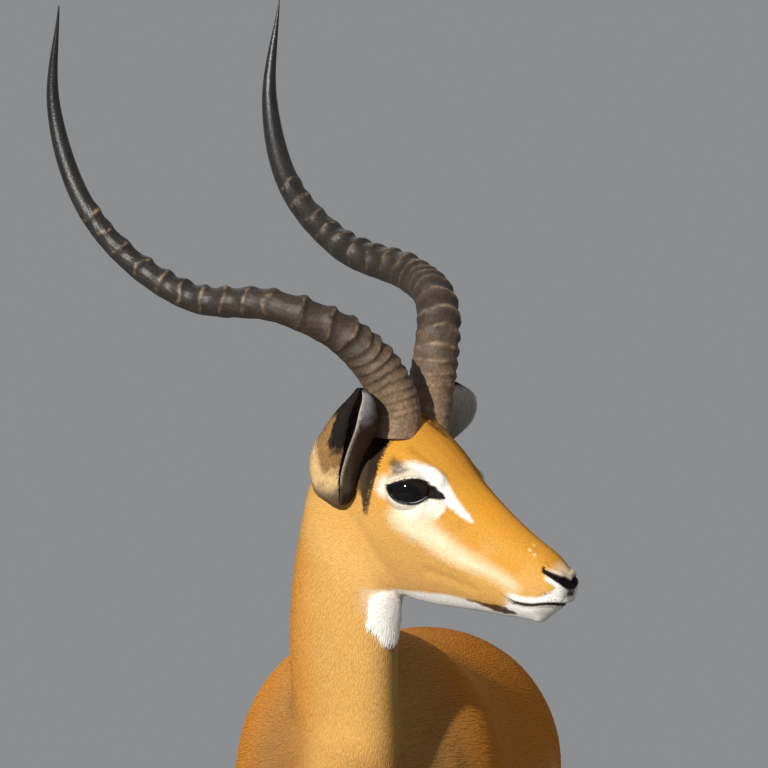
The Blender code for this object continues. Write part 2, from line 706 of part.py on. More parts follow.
def bodies_of(obj):
    """The connected parts of an object, as objects of their own."""
    mesh = obj.data
    parent = np.arange(len(mesh.vertices))

    def root(i):
        while parent[i] != i:
            parent[i] = parent[parent[i]]
            i = parent[i]
        return i

    for edge in mesh.edges:
        a, b = root(edge.vertices[0]), root(edge.vertices[1])
        parent[a] = b
    roots = np.array([root(i) for i in range(len(parent))])
    parts = []
    for label in sorted(set(roots.tolist()), key=lambda r: -int((roots == r).sum())):
        bm = bmesh.new()
        bm.from_mesh(mesh)
        bm.verts.ensure_lookup_table()
        bmesh.ops.delete(bm, geom=[v for v in bm.verts if roots[v.index] != label], context="VERTS")
        parts.append(object_of("part", bm))
    bpy.data.objects.remove(obj)
    return parts


def build():
    for obj in list(bpy.data.objects):
        bpy.data.objects.remove(obj)
    bpy.context.scene.collection.children.link(bpy.data.collections.new("impala"))

    flesh = fused_flesh()
    around = grown(flesh, GAP * 2)
    for side, letter in SIDES:
        for name, piece, colour in (("horn", horn(side, "horn"), "horn"), ("ear", ear(side, "ear"), "coat")):
            dressed(largest_body(boolean(piece, around)), f"{name}_{letter}", colour)
    dressed(largest_body(boolean(boolean(tail("tail"), around), flesh)), "tail", "belly")
    bpy.data.objects.remove(around)

    for side, letter in SIDES:
        for kind in ("fore", "hind"):
            flesh = leg_pieces(flesh, kind, side, letter)
            for outer, word in ((True, "outer"), (False, "inner")):
                claw = hoof("hoof", foot_place(kind, side), side, outer)
                dressed(claw, f"hoof_{kind}_{letter}_{word}", "hoof")

    upper, flesh = parted(flesh, "upper", "flesh", (0, -0.320, 0.850), (0, -0.22, 0.30))
    chest, flesh = parted(flesh, "chest", "flesh", (0, -0.130, 0.7), (0, -1, 0))
    barrel, rump = parted(flesh, "barrel", "rump", (0, 0.115, 0.7), (0, -1, 0))
    dressed(largest_body(chest), "chest", "coat")
    dressed(largest_body(barrel), "barrel", "coat")
    dressed(largest_body(rump), "rump", "coat")

    nape, throat = level_point(-0.140, 0, -0.085), level_point(-0.010, 0, -0.195)
    sideways = level_point(0, 1, 0) - level_point(0, 0, 0)
    head, neck = parted(upper, "head", "neck", nape, np.cross(throat - nape, sideways))
    upper_neck, lower_neck = parted(neck, "neck_upper", "neck_lower", (0, -0.325, 0.985), (0, -0.15, 1))
    dressed(largest_body(upper_neck), "neck_upper", "coat")
    dressed(largest_body(lower_neck), "neck_lower", "coat")

    for side, letter in SIDES:
        socket = ball("socket", head_point(EYE_PLACE[0], side * EYE_PLACE[1], EYE_PLACE[2]),
                      (EYE_RADIUS + GAP * 1.4,) * 3, 12)
        head = boolean(head, socket)
        bpy.data.objects.remove(socket)
        dressed(eye(side, "eye"), f"eye_{letter}", "eye")
    knife = jaw_knife()
    head, jaw = bodies_of(boolean(head, knife))[:2]
    bpy.data.objects.remove(knife)
    dressed(head, "head", "face")
    dressed(jaw, "lower_jaw", "belly")

    pieces = list(bpy.data.collections["impala"].objects)
    low = np.min([points_of(o.data).min(axis=0) for o in pieces], axis=0)
    high = np.max([points_of(o.data).max(axis=0) for o in pieces], axis=0)
    shift = np.array((-(low[0] + high[0]) / 2, -(low[1] + high[1]) / 2, 0))
    for obj in pieces:
        set_points(obj.data, points_of(obj.data) + shift)
        obj.data.shade_smooth()


build()
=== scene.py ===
"""Looks of the impala ram: one skin over all the flesh, its coat in short overlapping tufts, eyes with
lids, ringed horns and cloven hooves. Metres, +Z up. The animal faces -Y, its left side is +X.

The anatomy is worked out in the model's own coordinates, before it was centred on its box, and every
piece is moved by SHIFT when it is made.
"""

import itertools
import math

import bmesh
import bpy
import numpy as np
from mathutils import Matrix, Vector, kdtree


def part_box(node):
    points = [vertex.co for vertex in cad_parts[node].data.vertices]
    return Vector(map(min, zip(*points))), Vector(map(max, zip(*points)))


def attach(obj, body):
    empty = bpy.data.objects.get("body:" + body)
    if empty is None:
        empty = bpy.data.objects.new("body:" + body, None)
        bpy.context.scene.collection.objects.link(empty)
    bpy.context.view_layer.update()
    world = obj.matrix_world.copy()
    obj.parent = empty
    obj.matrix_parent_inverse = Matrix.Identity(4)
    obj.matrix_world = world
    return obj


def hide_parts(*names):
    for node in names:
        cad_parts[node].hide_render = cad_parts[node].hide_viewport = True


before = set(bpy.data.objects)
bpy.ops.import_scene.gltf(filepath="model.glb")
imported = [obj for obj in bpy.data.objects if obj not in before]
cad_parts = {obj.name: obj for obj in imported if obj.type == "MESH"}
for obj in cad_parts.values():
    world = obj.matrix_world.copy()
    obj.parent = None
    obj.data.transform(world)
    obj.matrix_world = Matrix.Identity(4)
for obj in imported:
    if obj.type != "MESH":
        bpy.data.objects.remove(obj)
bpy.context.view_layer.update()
rng = np.random.default_rng(7)

# ---- driving dimensions: as in the CAD, but for the voxel, the neck and the ears' slit and wall ----
HORN_BASE = np.array((0.072, -0.360, 1.170))  # midway between the two horns, where they leave the skull
HEAD_TURN = math.radians(64)
HEAD_DROP = math.radians(22)
EYE_PLACE = (0.054, 0.0405, -0.059)  # along the head, to its side, above its axis
HORN_BASE_RADIUS = 0.0245
STEPS = {("fore", 1): -0.030, ("fore", -1): 0.020, ("hind", 1): 0.030, ("hind", -1): -0.040}
SIDES = ((1, "L"), (-1, "R"))
HEAD_STRETCH = 2.5
STRETCH_REACH = 0.16
FUSE_SIZE = 0.0057  # voxel of the fused skin, in the stretched space

# distance along the head, top, bottom, half widths at 12, 35, 60 and 85 % of the depth (mm)
HEAD_SECTIONS = (
    (-62, -45, -110, 20, 30, 30, 18),
    (-45, -22, -140, 28, 44, 44, 27),
    (-20, -4, -160, 36, 52, 51, 32),
    (10, 5, -169, 41, 54, 52, 34),
    (40, -3, -174, 42, 55, 52, 33),
    (70, -14, -174, 37, 54, 49, 30),
    (100, -29, -168, 28, 42, 42, 26),
    (130, -40, -158.5, 22, 32, 36, 23),
    (160, -49.5, -149.5, 19, 27, 31, 21),
    (190, -57, -141.5, 18, 25, 28, 20),
    (215, -62.5, -135, 18, 26, 27, 19),
    (232, -70, -126, 16, 24, 24, 15),
    (243, -80, -113, 10, 15, 14, 9),
)
HEAD_DEPTHS = (0.12, 0.35, 0.60, 0.85)
# place along the body, back, belly, half width, height of the widest line
TRUNK_SECTIONS = (
    (-0.430, 0.790, 0.690, 0.036, 0.740),
    (-0.400, 0.825, 0.635, 0.050, 0.740),
    (-0.340, 0.875, 0.580, 0.066, 0.745),
    (-0.270, 0.925, 0.553, 0.094, 0.765),
    (-0.190, 0.945, 0.540, 0.1370, 0.785),
    (-0.100, 0.936, 0.537, 0.141, 0.765),
    (0.000, 0.917, 0.545, 0.145, 0.740),
    (0.090, 0.908, 0.562, 0.146, 0.735),
    (0.180, 0.910, 0.592, 0.151, 0.750),
    (0.270, 0.914, 0.640, 0.151, 0.765),
    (0.340, 0.902, 0.670, 0.130, 0.770),
    (0.400, 0.868, 0.705, 0.100, 0.775),
    (0.440, 0.815, 0.735, 0.060, 0.775),
)
# x, y, z of the middle, turn (degrees), reach to the front, reach to the back, half width
NECK_SECTIONS = (
    (0.000, -0.238, 0.690, 4, 0.127, 0.102, 0.069),
    (-0.001, -0.275, 0.760, 14, 0.113, 0.095, 0.060),
    (-0.001, -0.303, 0.830, 28, 0.088, 0.084, 0.053),
    (-0.003, -0.318, 0.895, 38, 0.077, 0.076, 0.050),
    (-0.003, -0.325, 0.960, 46, 0.075, 0.069, 0.049),
    (0.003, -0.329, 1.020, 53, 0.073, 0.064, 0.049),
    (0.012, -0.332, 1.070, 57, 0.070, 0.060, 0.049),
    (0.022, -0.335, 1.115, 61, 0.062, 0.051, 0.047),
    (0.035, -0.340, 1.145, 64, 0.045, 0.035, 0.040),
)
# x, y, z, fore-and-aft radius, sideways radius
FORELEG_SECTIONS = (
    (0.075, -0.285, 0.660, 0.060, 0.040),
    (0.088, -0.262, 0.585, 0.056, 0.036),
    (0.090, -0.262, 0.530, 0.042, 0.030),
    (0.088, -0.268, 0.470, 0.032, 0.026),
    (0.083, -0.272, 0.400, 0.024, 0.021),
    (0.080, -0.274, 0.355, 0.0215, 0.020),
    (0.079, -0.276, 0.325, 0.0235, 0.0225),
    (0.078, -0.275, 0.295, 0.0195, 0.0200),
    (0.077, -0.272, 0.255, 0.0150, 0.0145),
    (0.076, -0.268, 0.180, 0.0145, 0.0135),
    (0.075, -0.264, 0.125, 0.0165, 0.0150),
    (0.075, -0.264, 0.098, 0.0205, 0.0185),
    (0.075, -0.272, 0.070, 0.0165, 0.0165),
    (0.075, -0.285, 0.042, 0.0175, 0.0195),
    (0.075, -0.292, 0.026, 0.0175, 0.0195),
)
HINDLEG_SECTIONS = (
    (0.075, 0.285, 0.740, 0.090, 0.050),
    (0.098, 0.205, 0.625, 0.075, 0.045),
    (0.095, 0.255, 0.530, 0.062, 0.040),
    (0.088, 0.315, 0.460, 0.040, 0.030),
    (0.083, 0.360, 0.410, 0.030, 0.022),
    (0.080, 0.388, 0.372, 0.031, 0.0215),
    (0.079, 0.388, 0.335, 0.0235, 0.0190),
    (0.078, 0.380, 0.290, 0.0165, 0.0155),
    (0.077, 0.372, 0.210, 0.0150, 0.0140),
    (0.076, 0.364, 0.140, 0.0165, 0.0150),
    (0.076, 0.362, 0.105, 0.0205, 0.0185),
    (0.076, 0.352, 0.074, 0.0165, 0.0165),
    (0.076, 0.338, 0.044, 0.0175, 0.0195),
    (0.076, 0.331, 0.026, 0.0175, 0.0195),
)
# x, y, z, radius out to the tips of the hair
TAIL_SECTIONS = (
    (0.0, 0.400, 0.858, 0.022),
    (0.0, 0.444, 0.838, 0.022),
    (0.0, 0.470, 0.790, 0.020),
    (0.0, 0.476, 0.720, 0.023),
    (0.0, 0.473, 0.640, 0.022),
    (0.0, 0.468, 0.575, 0.013),
    (0.0, 0.466, 0.545, 0.004),
)
# forward, outward and upward of HORN_BASE (mm), along each horn
HORN_LINES = {
    1: ((0, 28, 0), (-13, 65, 97), (-89, 130, 132), (-186, 149, 160), (-262, 164, 221), (-299, 182, 305),
        (-294, 192, 411)),
    -1: ((0, 28, 0), (-27, 74, 75), (-77, 118, 106), (-175, 139, 116), (-270, 170, 193), (-309, 183, 305),
         (-296, 192, 406)),
}
# share of the horn's length, share of its base radius
HORN_TAPER = {
    1: ((0, 1.03), (0.1, 0.92), (0.27, 0.77), (0.44, 0.64), (0.64, 0.45), (0.8, 0.31), (1, 0.03)),
    -1: ((0, 1.03), (0.1, 0.91), (0.27, 0.67), (0.44, 0.53), (0.64, 0.37), (0.8, 0.27), (1, 0.03)),
}
# up, forward and outward of HORN_BASE, reach to the back, outside, inside and front edge (mm),
# and the half opening of the slit (degrees)
EAR_SECTIONS = (
    (-92, -50, 56, 8, 8, 8, 8, 6),
    (-84, -51, 58, 18, 18, 16, 18, 7),
    (-64, -50, 61, 28, 24, 19, 25, 9),
    (-38, -42, 65, 32, 27, 18, 34, 12),
    (-12, -31, 71, 23, 19, 16, 47, 16),
    (5, -22, 76, 15, 11, 13, 40, 20),
    (18, -13, 79, 8, 6, 8, 25, 26),
    (27, -8, 80, 4, 4, 3, 5, 30),
)
# middle of the slit, in degrees from forward towards outward, and share of its width left open
EAR_SLIT = {1: (-20, 2.4), -1: (48, 0.22)}
EAR_WALL = 0.0022
# name, outward, along and up of one end, then of the other, radius at each end, sideways thickness
MUSCLES = (
    ("scapula", (0.074, -0.180, 0.850), (0.086, -0.258, 0.690), 0.062, 0.060, 0.60),
    ("triceps", (0.088, -0.205, 0.730), (0.090, -0.240, 0.600), 0.066, 0.054, 0.65),
    ("thigh", (0.080, 0.225, 0.770), (0.100, 0.195, 0.640), 0.075, 0.060, 0.75),
    ("hamstring", (0.060, 0.375, 0.775), (0.092, 0.288, 0.555), 0.062, 0.046, 0.75),
    ("flank_fold", (0.100, 0.160, 0.655), (0.096, 0.085, 0.645), 0.045, 0.036, 0.60),
)
# name, place along the head, to its side and above its axis of each end, radius at each end
HEAD_BARS = (
    ("pedicle", (-0.010, 0.022, -0.030), (0.000, 0.026, -0.006), 0.024, 0.020),
    ("brow", (0.036, 0.037, -0.034), (0.074, 0.033, -0.043), 0.014, 0.012),
)

# ---- colours (linear) ----
ORANGE = np.array((0.56, 0.265, 0.034))
TAN = np.array((0.60, 0.330, 0.090))
PALE = np.array((0.80, 0.66, 0.44))
CREAM = np.array((0.80, 0.735, 0.62))
WHITE = np.array((0.87, 0.85, 0.81))
NECK = np.array((0.57, 0.315, 0.088))
BACK = np.array((0.52, 0.180, 0.010))
SHOULDER = np.array((0.38, 0.185, 0.055))
FLANK = np.array((0.56, 0.33, 0.125))
DARK = np.array((0.045, 0.028, 0.018))
BLACK = np.array((0.010, 0.008, 0.007))
GREY = np.array((0.26, 0.22, 0.19))
BROWN = np.array((0.30, 0.165, 0.065))


# ---- curves and measures ----
def blended(rows, knots, at):
    """Rows of numbers carried smoothly through their knots, read at the places in at."""
    rows, knots = np.array(rows, float), np.array(knots, float)
    slopes = np.gradient(rows, knots, axis=0)
    i = np.clip(np.searchsorted(knots, at, side="right") - 1, 0, len(knots) - 2)
    width = (knots[i + 1] - knots[i])[:, None]
    t = (at - knots[i])[:, None] / width
    start, end = 2 * t**3 - 3 * t**2 + 1, 3 * t**2 - 2 * t**3
    leave, arrive = t**3 - 2 * t**2 + t, t**3 - t**2
    return start * rows[i] + end * rows[i + 1] + width * (leave * slopes[i] + arrive * slopes[i + 1])


def lengths_along(points):
    return np.concatenate(([0], np.cumsum(sizes(np.diff(points, axis=0)))))


def along(rows, spacing):
    """Rows that start with x, y, z, read about every spacing metres along their line."""
    rows = np.array(rows, float)
    knots = lengths_along(rows[:, :3])
    return blended(rows, knots, np.linspace(0, knots[-1], int(knots[-1] / spacing) + 2))


def evenly(rows, count):
    """Rows read at count even places of their first number."""
    places = np.array(rows, float)[:, 0]
    return blended(rows, places, np.linspace(places[0], places[-1], count))


def at_height(rows, z, column):
    """A column of a table of sections, read at heights z."""
    rows = np.array(sorted(rows, key=lambda row: row[2]))
    return np.interp(z, rows[:, 2], rows[:, column])


AHEAD = np.array((math.sin(HEAD_TURN), -math.cos(HEAD_TURN), 0))
LEFT = np.array((math.cos(HEAD_TURN), math.sin(HEAD_TURN), 0))
UP = np.array((0.0, 0.0, 1.0))
SIDEWAYS = np.array((1.0, 0.0, 0.0))
FORWARD = np.array((0.0, -1.0, 0.0))


def level_point(forward, side, up):
    """A point given level with the ground: where the head looks, to its left and up, from HORN_BASE."""
    return HORN_BASE + forward * AHEAD + side * LEFT + up * UP


def head_point(forward, side, up):
    """A point given along the head's own axis, to its left and above that axis, from HORN_BASE."""
    level = math.cos(HEAD_DROP) * forward + math.sin(HEAD_DROP) * up
    rise = math.cos(HEAD_DROP) * up - math.sin(HEAD_DROP) * forward
    return level_point(level, side, rise)


def level_places(points):
    """Forward, left and up of HORN_BASE, level with the ground, in millimetres."""
    away = (points - HORN_BASE) * 1000
    return np.stack((away @ AHEAD, away @ LEFT, away[:, 2]), axis=1)


def head_places(points):
    """Along the head, to its left and above its axis, in millimetres."""
    forward, left, up = level_places(points).T
    cos, sin = math.cos(HEAD_DROP), math.sin(HEAD_DROP)
    return np.stack((cos * forward - sin * up, left, sin * forward + cos * up), axis=1)


def head_way(forward, side, up):
    """A direction given in the head's own axes."""
    way = head_point(forward, side, up) - head_point(0, 0, 0)
    return way / np.linalg.norm(way)


def sizes(vectors):
    return np.linalg.norm(vectors, axis=1)


def unit(vectors):
    return vectors / np.maximum(np.linalg.norm(vectors, axis=-1, keepdims=True), 1e-12)


def rising(low, high, x):
    """0 below low, 1 above high and smooth between; falling where low is above high."""
    t = np.clip((x - low) / (high - low), 0, 1)
    return t * t * (3 - 2 * t)


def mixed(colours, colour, share):
    return colours + (np.asarray(colour) - colours) * np.asarray(share)[:, None]


def layered(colours, *layers):
    """Lays colours, or directions, over one another, each with its share at each point."""
    for colour, share in layers:
        colours = mixed(colours, colour, share)
    return colours


def line_distance(points, line):
    """Distance of each point to a bent line, and the place on the line counted in its knots."""
    line = np.array(line, float)
    best, place = np.full(len(points), 1e9), np.zeros(len(points))
    for i, (a, b) in enumerate(zip(line, line[1:])):
        t = np.clip((points - a) @ (b - a) / ((b - a) @ (b - a)), 0, 1)
        distance = sizes(points - a - t[:, None] * (b - a))
        closer = distance < best
        best[closer], place[closer] = distance[closer], i + t[closer]
    return best, place


def streak(points, line, radii, soft):
    """1 on a streak along a bent line, falling to 0 across soft at its radius."""
    distance, place = line_distance(points, line)
    radius = np.interp(place, np.arange(len(radii)), radii)
    return rising(soft / 2, -soft / 2, distance - radius)


def noise(points, size, seed=0):
    """Smooth noise from -1 to 1 with lumps about size across."""
    cell = points / size
    base = np.floor(cell).astype(np.int64)
    part = cell - base
    part = part * part * (3 - 2 * part)
    total = np.zeros(len(points))
    for corner in itertools.product((0, 1), repeat=3):
        key = (base + corner) @ np.array((73856093, 19349663, 83492791)) + seed * 7919
        key = ((key ^ (key >> 13)) * 1274126177) & 0x7FFFFFFF
        key = ((key ^ (key >> 11)) * 69069 + 12345) & 0x7FFFFFFF
        weight = np.prod(np.where(corner, part, 1 - part), axis=1)
        total += weight * (key / 0x3FFFFFFF - 1)
    return total


# ---- meshes ----
# where the CAD eye lies, less where the tables put it
SHIFT = np.mean(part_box("eye_L"), axis=0) - head_point(*EYE_PLACE)


def linked(name, mesh):
    obj = bpy.data.objects.new(name, mesh)
    bpy.context.scene.collection.objects.link(obj)
    return obj


def object_of(name, bm):
    mesh = bpy.data.meshes.new(name)
    bm.to_mesh(mesh)
    bm.free()
    return linked(name, mesh)


def loft(name, rings, folded=False):
    """A closed mesh through rings of equally many points. Each end gets a fan of faces, or where a ring
    runs out along a wall and back along its other face, a strip between the two."""
    bm = bmesh.new()
    rows = [[bm.verts.new(p) for p in ring] for ring in rings]
    count = len(rows[0])
    for low, high in zip(rows, rows[1:]):
        for i in range(count):
            j = (i + 1) % count
            bm.faces.new((low[i], low[j], high[j], high[i]))
    for row in (rows[0], rows[-1]):
        if folded:
            for i in range(count // 2 - 1):
                bm.faces.new((row[i], row[i + 1], row[count - 2 - i], row[count - 1 - i]))
            continue
        middle = bm.verts.new(np.mean([v.co for v in row], axis=0))
        for i in range(count):
            bm.faces.new((row[i], row[(i + 1) % count], middle))
    bmesh.ops.recalc_face_normals(bm, faces=bm.faces)
    return object_of(name, bm)


def oval(middle, across, ahead, width, front, back, count=28):
    """A ring round middle: half widths along across, and reaches along ahead and against it."""
    turn = np.linspace(0, 2 * math.pi, count, endpoint=False)
    reach = np.where(np.sin(turn) > 0, front, back)
    return middle + np.outer(width * np.cos(turn), across) + np.outer(reach * np.sin(turn), ahead)


def ball(name, centre, radii):
    bm = bmesh.new()
    bmesh.ops.create_uvsphere(bm, u_segments=24, v_segments=12, radius=1)
    bmesh.ops.scale(bm, vec=radii, verts=bm.verts)
    bmesh.ops.translate(bm, vec=centre, verts=bm.verts)
    return object_of(name, bm)


def capsule(name, start, end, start_radius, end_radius, thin=1.0):
    """A round-ended bar between two points, its sideways thickness scaled by thin."""
    start, end = np.array(start, float), np.array(end, float)
    axis = (end - start) / np.linalg.norm(end - start)
    across = SIDEWAYS - axis[0] * axis
    across /= np.linalg.norm(across)
    ahead = np.cross(axis, across)
    rings = []
    for turn in np.linspace(0.08, math.pi - 0.08, 16):
        at_start = turn < math.pi / 2
        centre, radius = (start, start_radius) if at_start else (end, end_radius)
        middle = centre - math.cos(turn) * radius * axis
        wide = math.sin(turn) * radius
        rings.append(oval(middle, across, ahead, wide * thin, wide, wide, 20))
    return loft(name, rings)


def values_of(source, key, width, kind=np.float32):
    """What a mesh holds for each of its vertices, edges or triangles."""
    flat = np.empty(len(source) * width, kind)
    source.foreach_get(key, flat)
    return flat.reshape(-1, width)


def points_of(mesh):
    return values_of(mesh.vertices, "co", 3).astype(float)


def rest_of(mesh):
    """Where the skin's points lay before the face was shaped: its markings are read there."""
    return values_of(mesh.attributes["Rest"].data, "vector", 3).astype(float)


def normals_of(mesh):
    return values_of(mesh.vertex_normals, "vector", 3).astype(float)


def edges_of(mesh):
    return values_of(mesh.edges, "vertices", 2, np.int32).astype(np.int64).T


def triangles_of(mesh):
    mesh.calc_loop_triangles()
    return values_of(mesh.loop_triangles, "vertices", 3, np.int32)


def set_points(mesh, points):
    mesh.vertices.foreach_set("co", points.astype(np.float32).ravel())
    mesh.update()


def triangle_mesh(name, points, triangles):
    """A mesh straight from arrays, for pieces of many thousand faces."""
    mesh = bpy.data.meshes.new(name)
    mesh.vertices.add(len(points))
    mesh.vertices.foreach_set("co", points.astype(np.float32).ravel())
    mesh.loops.add(triangles.size)
    mesh.loops.foreach_set("vertex_index", triangles.astype(np.int32).ravel())
    mesh.polygons.add(len(triangles))
    mesh.polygons.foreach_set("loop_start", np.arange(0, triangles.size, 3, dtype=np.int32))
    mesh.update(calc_edges=True)
    return mesh


def paint(mesh, colours):
    """Stores the coat's colour at each vertex."""
    layer = mesh.color_attributes.new(name="Coat", type="FLOAT_COLOR", domain="POINT")
    rgba = np.column_stack((np.clip(colours, 0, 1), np.ones(len(colours)))).astype(np.float32)
    layer.data.foreach_set("color", rgba.ravel())


def store(mesh, name, values, kind="FLOAT"):
    """Stores a number or a vector at each vertex."""
    layer = mesh.attributes.new(name=name, type=kind, domain="POINT")
    layer.data.foreach_set("value" if kind == "FLOAT" else "vector", np.asarray(values, np.float32).ravel())


def neighbour_mean(values, edges, count):
    a, b = edges
    return np.stack([(np.bincount(a, values[b, k], len(values)) + np.bincount(b, values[a, k], len(values)))
                     / count for k in range(values.shape[1])], axis=1)


def smoothed(mesh, passes, weight, push=-0.56):
    """Evens the surface out; push, against the shrinking, is 0 where forms have to run into each other.
    weight, from 0 to 1, says how much at each point."""
    edges = edges_of(mesh)
    points = points_of(mesh)
    count = np.maximum(np.bincount(edges.ravel(), minlength=len(points)), 1)
    for step in [0.6, push] * passes:
        if step:
            points += step * weight[:, None] * (neighbour_mean(points, edges, count) - points)
    set_points(mesh, points)


def evaluated(obj):
    """The object with its modifiers applied, as a new mesh on the same object."""
    graph = bpy.context.evaluated_depsgraph_get()
    mesh = bpy.data.meshes.new_from_object(obj.evaluated_get(graph))
    obj.modifiers.clear()
    obj.data = mesh
    return obj


def joined(name, objects):
    bm = bmesh.new()
    for obj in objects:
        bm.from_mesh(obj.data)
        bpy.data.objects.remove(obj)
    return object_of(name, bm)


# ---- the forms of the flesh ----
def head_ring(row):
    """One section of the head, through its top, four points down each side and its bottom."""
    place, top, bottom, *widths = row
    side = [(0, top)] + [(w, top - d * (top - bottom)) for w, d in zip(widths, HEAD_DEPTHS)] + [(0, bottom)]
    whole = side + [(-w, v) for w, v in side[-2:0:-1]]
    looped = whole[-2:] + whole + whole[:3]
    smooth = blended(looped, np.arange(len(looped)), np.linspace(2, 2 + len(whole), 40, endpoint=False))
    return [head_point(place / 1000, w / 1000, v / 1000) for w, v in smooth]


def head_forms():
    forms = [loft("skull", [head_ring(row) for row in evenly(HEAD_SECTIONS, 40)])]
    for side, _ in SIDES:
        for name, start, end, first, last in HEAD_BARS:
            ends = [head_point(a, side * out, v) for a, out, v in (start, end)]
            forms.append(capsule(name, *ends, first, last))
        forms.append(ball("nostril_wing", head_point(0.228, side * 0.012, -0.084), (0.0135,) * 3))
    forms.append(ball("upper_lip", head_point(0.231, 0, -0.100), (0.015,) * 3))
    forms.append(ball("chin", head_point(0.218, 0, -0.119), (0.016,) * 3))
    return forms


def trunk_form():
    return loft("trunk", [oval((0, place, middle), SIDEWAYS, UP, width, back - middle, middle - belly, 48)
                          for place, back, belly, width, middle in evenly(TRUNK_SECTIONS, 60)])


def neck_form():
    rings = []
    for x, y, z, turn, front, back, width in along(NECK_SECTIONS, 0.012):
        sin, cos = math.sin(math.radians(turn)), math.cos(math.radians(turn))
        rings.append(oval((x, y, z), (cos, sin, 0), (sin, -cos, 0), width, front, back, 36))
    return loft("neck", rings)


def leg_form(name, rows, side, step):
    """A leg from its sections, its foot moved fore or aft by step and the shift fading out at the top."""
    top = rows[0][2]
    return loft(name, [oval((side * x, y + step * (1 - z / top), z), SIDEWAYS, FORWARD, wide, deep, deep, 24)
                       for x, y, z, deep, wide in along(rows, 0.010)])


def muscle_forms():
    forms = []
    for side, _ in SIDES:
        outward = np.array((side, 1, 1))
        forms += [capsule(name, outward * start, outward * end, first, last, thin)
                  for name, start, end, first, last, thin in MUSCLES]
        forms.append(ball("brisket", (side * 0.022, -0.345, 0.675), (0.056, 0.070, 0.090)))
        forms.append(ball("croup", (side * 0.060, 0.290, 0.790), (0.070, 0.120, 0.100)))
    return forms


def heel_form(side, step):
    """The point of the hock and the tendon that runs up from it."""
    ends = [(side * x, y + step * (1 - fall / HINDLEG_SECTIONS[0][2]), z)
            for x, y, fall, z in ((0.080, 0.410, 0.40, 0.402), (0.090, 0.312, 0.52, 0.520))]
    return capsule("heel", *ends, 0.0130, 0.018)


TAIL_CORE = 0.55  # share of the tail's radius that is flesh


def tail_form():
    rings = []
    for x, y, z, radius in along(TAIL_SECTIONS[:-1], 0.020):
        radius = max(radius * TAIL_CORE, 0.007)
        rings.append(oval((x, y, z), SIDEWAYS, (0, 0.87, 0.5), radius, radius, radius, 16))
    return loft("tail", rings)


def flesh_forms():
    forms = head_forms() + [trunk_form(), neck_form(), tail_form()] + muscle_forms()
    for side, _ in SIDES:
        forms.append(leg_form("foreleg", FORELEG_SECTIONS, side, STEPS["fore", side]))
        forms.append(leg_form("hindleg", HINDLEG_SECTIONS, side, STEPS["hind", side]))
        forms.append(heel_form(side, STEPS["hind", side]))
    return forms


HEAD_MIDDLE = head_point(0.09, 0, -0.08)


def stretched(points, inverse=False):
    """Points drawn apart round the middle of the head, so that one voxel size is finer there."""
    away = points - HEAD_MIDDLE
    reach = sizes(away)
    near = np.linspace(0, 3, 6000)
    far = near + HEAD_STRETCH * STRETCH_REACH * (1 - np.exp(-near / STRETCH_REACH))
    new = np.interp(reach, far, near) if inverse else np.interp(reach, near, far)
    return HEAD_MIDDLE + away * (new / np.maximum(reach, 1e-9))[:, None]


# ---- parts of the body, as weights from 0 to 1 at each point ----
def head_share(points):
    nape, throat = level_point(-0.140, 0, -0.085), level_point(-0.010, 0, -0.195)
    forward = unit(np.cross(throat - nape, LEFT))
    forward = forward if forward @ AHEAD > 0 else -forward
    return rising(-0.028, 0.022, (points - nape) @ forward)


def neck_share(points):
    above = unit(np.array((0, -0.22, 0.30)))
    return rising(-0.045, 0.045, (points - np.array((0, -0.320, 0.850))) @ above)


def tail_share(points):
    distance, _ = line_distance(points, [row[:3] for row in TAIL_SECTIONS])
    return rising(0.030, 0.018, distance) * rising(0.418, 0.440, points[:, 1])


def leg_share(points):
    fore = rising(0.60, 0.50, points[:, 2]) * (points[:, 1] < 0)
    hind = rising(0.66, 0.52, points[:, 2]) * (points[:, 1] >= 0)
    return (fore + hind) * (1 - tail_share(points))


def coat_depth(points):
    """How far the skin lies inside the tips of the coat."""
    head, leg, tail = head_share(points), leg_share(points), tail_share(points)
    forward = head_places(points)[:, 0]
    face = np.interp(forward, (-40, 40, 150, 215, 235), (1.9, 1.3, 1.0, 0.5, 0.2)) / 1000
    body = 0.0034 * (1 - leg) + 0.0019 * leg
    return (face * head + body * (1 - head)) * (1 - tail)


# ---- the skin ----
def fused_skin():
    skin = joined("skin", flesh_forms())
    set_points(skin.data, stretched(points_of(skin.data)))
    fuse = skin.modifiers.new("fuse", "REMESH")
    fuse.mode = "VOXEL"
    fuse.voxel_size = FUSE_SIZE
    evaluated(skin)
    real = stretched(points_of(skin.data), inverse=True)
    # body is 0 on the head and 1 behind it, trunk is 0 on the legs and the tail
    body = np.clip((sizes(real - HEAD_MIDDLE) - 0.13) / 0.08, 0, 1)
    trunk = np.clip((real[:, 2] - 0.42) / 0.16, 0, 1) * (1 - tail_share(real))
    smoothed(skin.data, 40, trunk * body, push=0)
    smoothed(skin.data, 50, 0.45 * (1 - body) + body * (0.06 + 0.94 * trunk))
    set_points(skin.data, stretched(points_of(skin.data), inverse=True))
    real = points_of(skin.data)
    set_points(skin.data, real - coat_depth(real)[:, None] * normals_of(skin.data))
    return skin


# rear to front, in the head's millimetres, for the animal's left side
NOSTRIL_LINE = ((213.5, 20, -74), (216, 23, -77), (223, 22, -76.5), (230, 20, -76), (237, 13, -78),
                (242, 7, -81), (245.5, 3, -86))
NOSTRIL_RADII = (1.0, 1.7, 2.4, 3.3, 4.2, 4.4, 2.8)
MOUTH_LINE = ((180, -116), (190, -119), (198, -119.2), (207, -117), (217, -113.8), (233, -108.4),
              (242, -105), (252, -104))


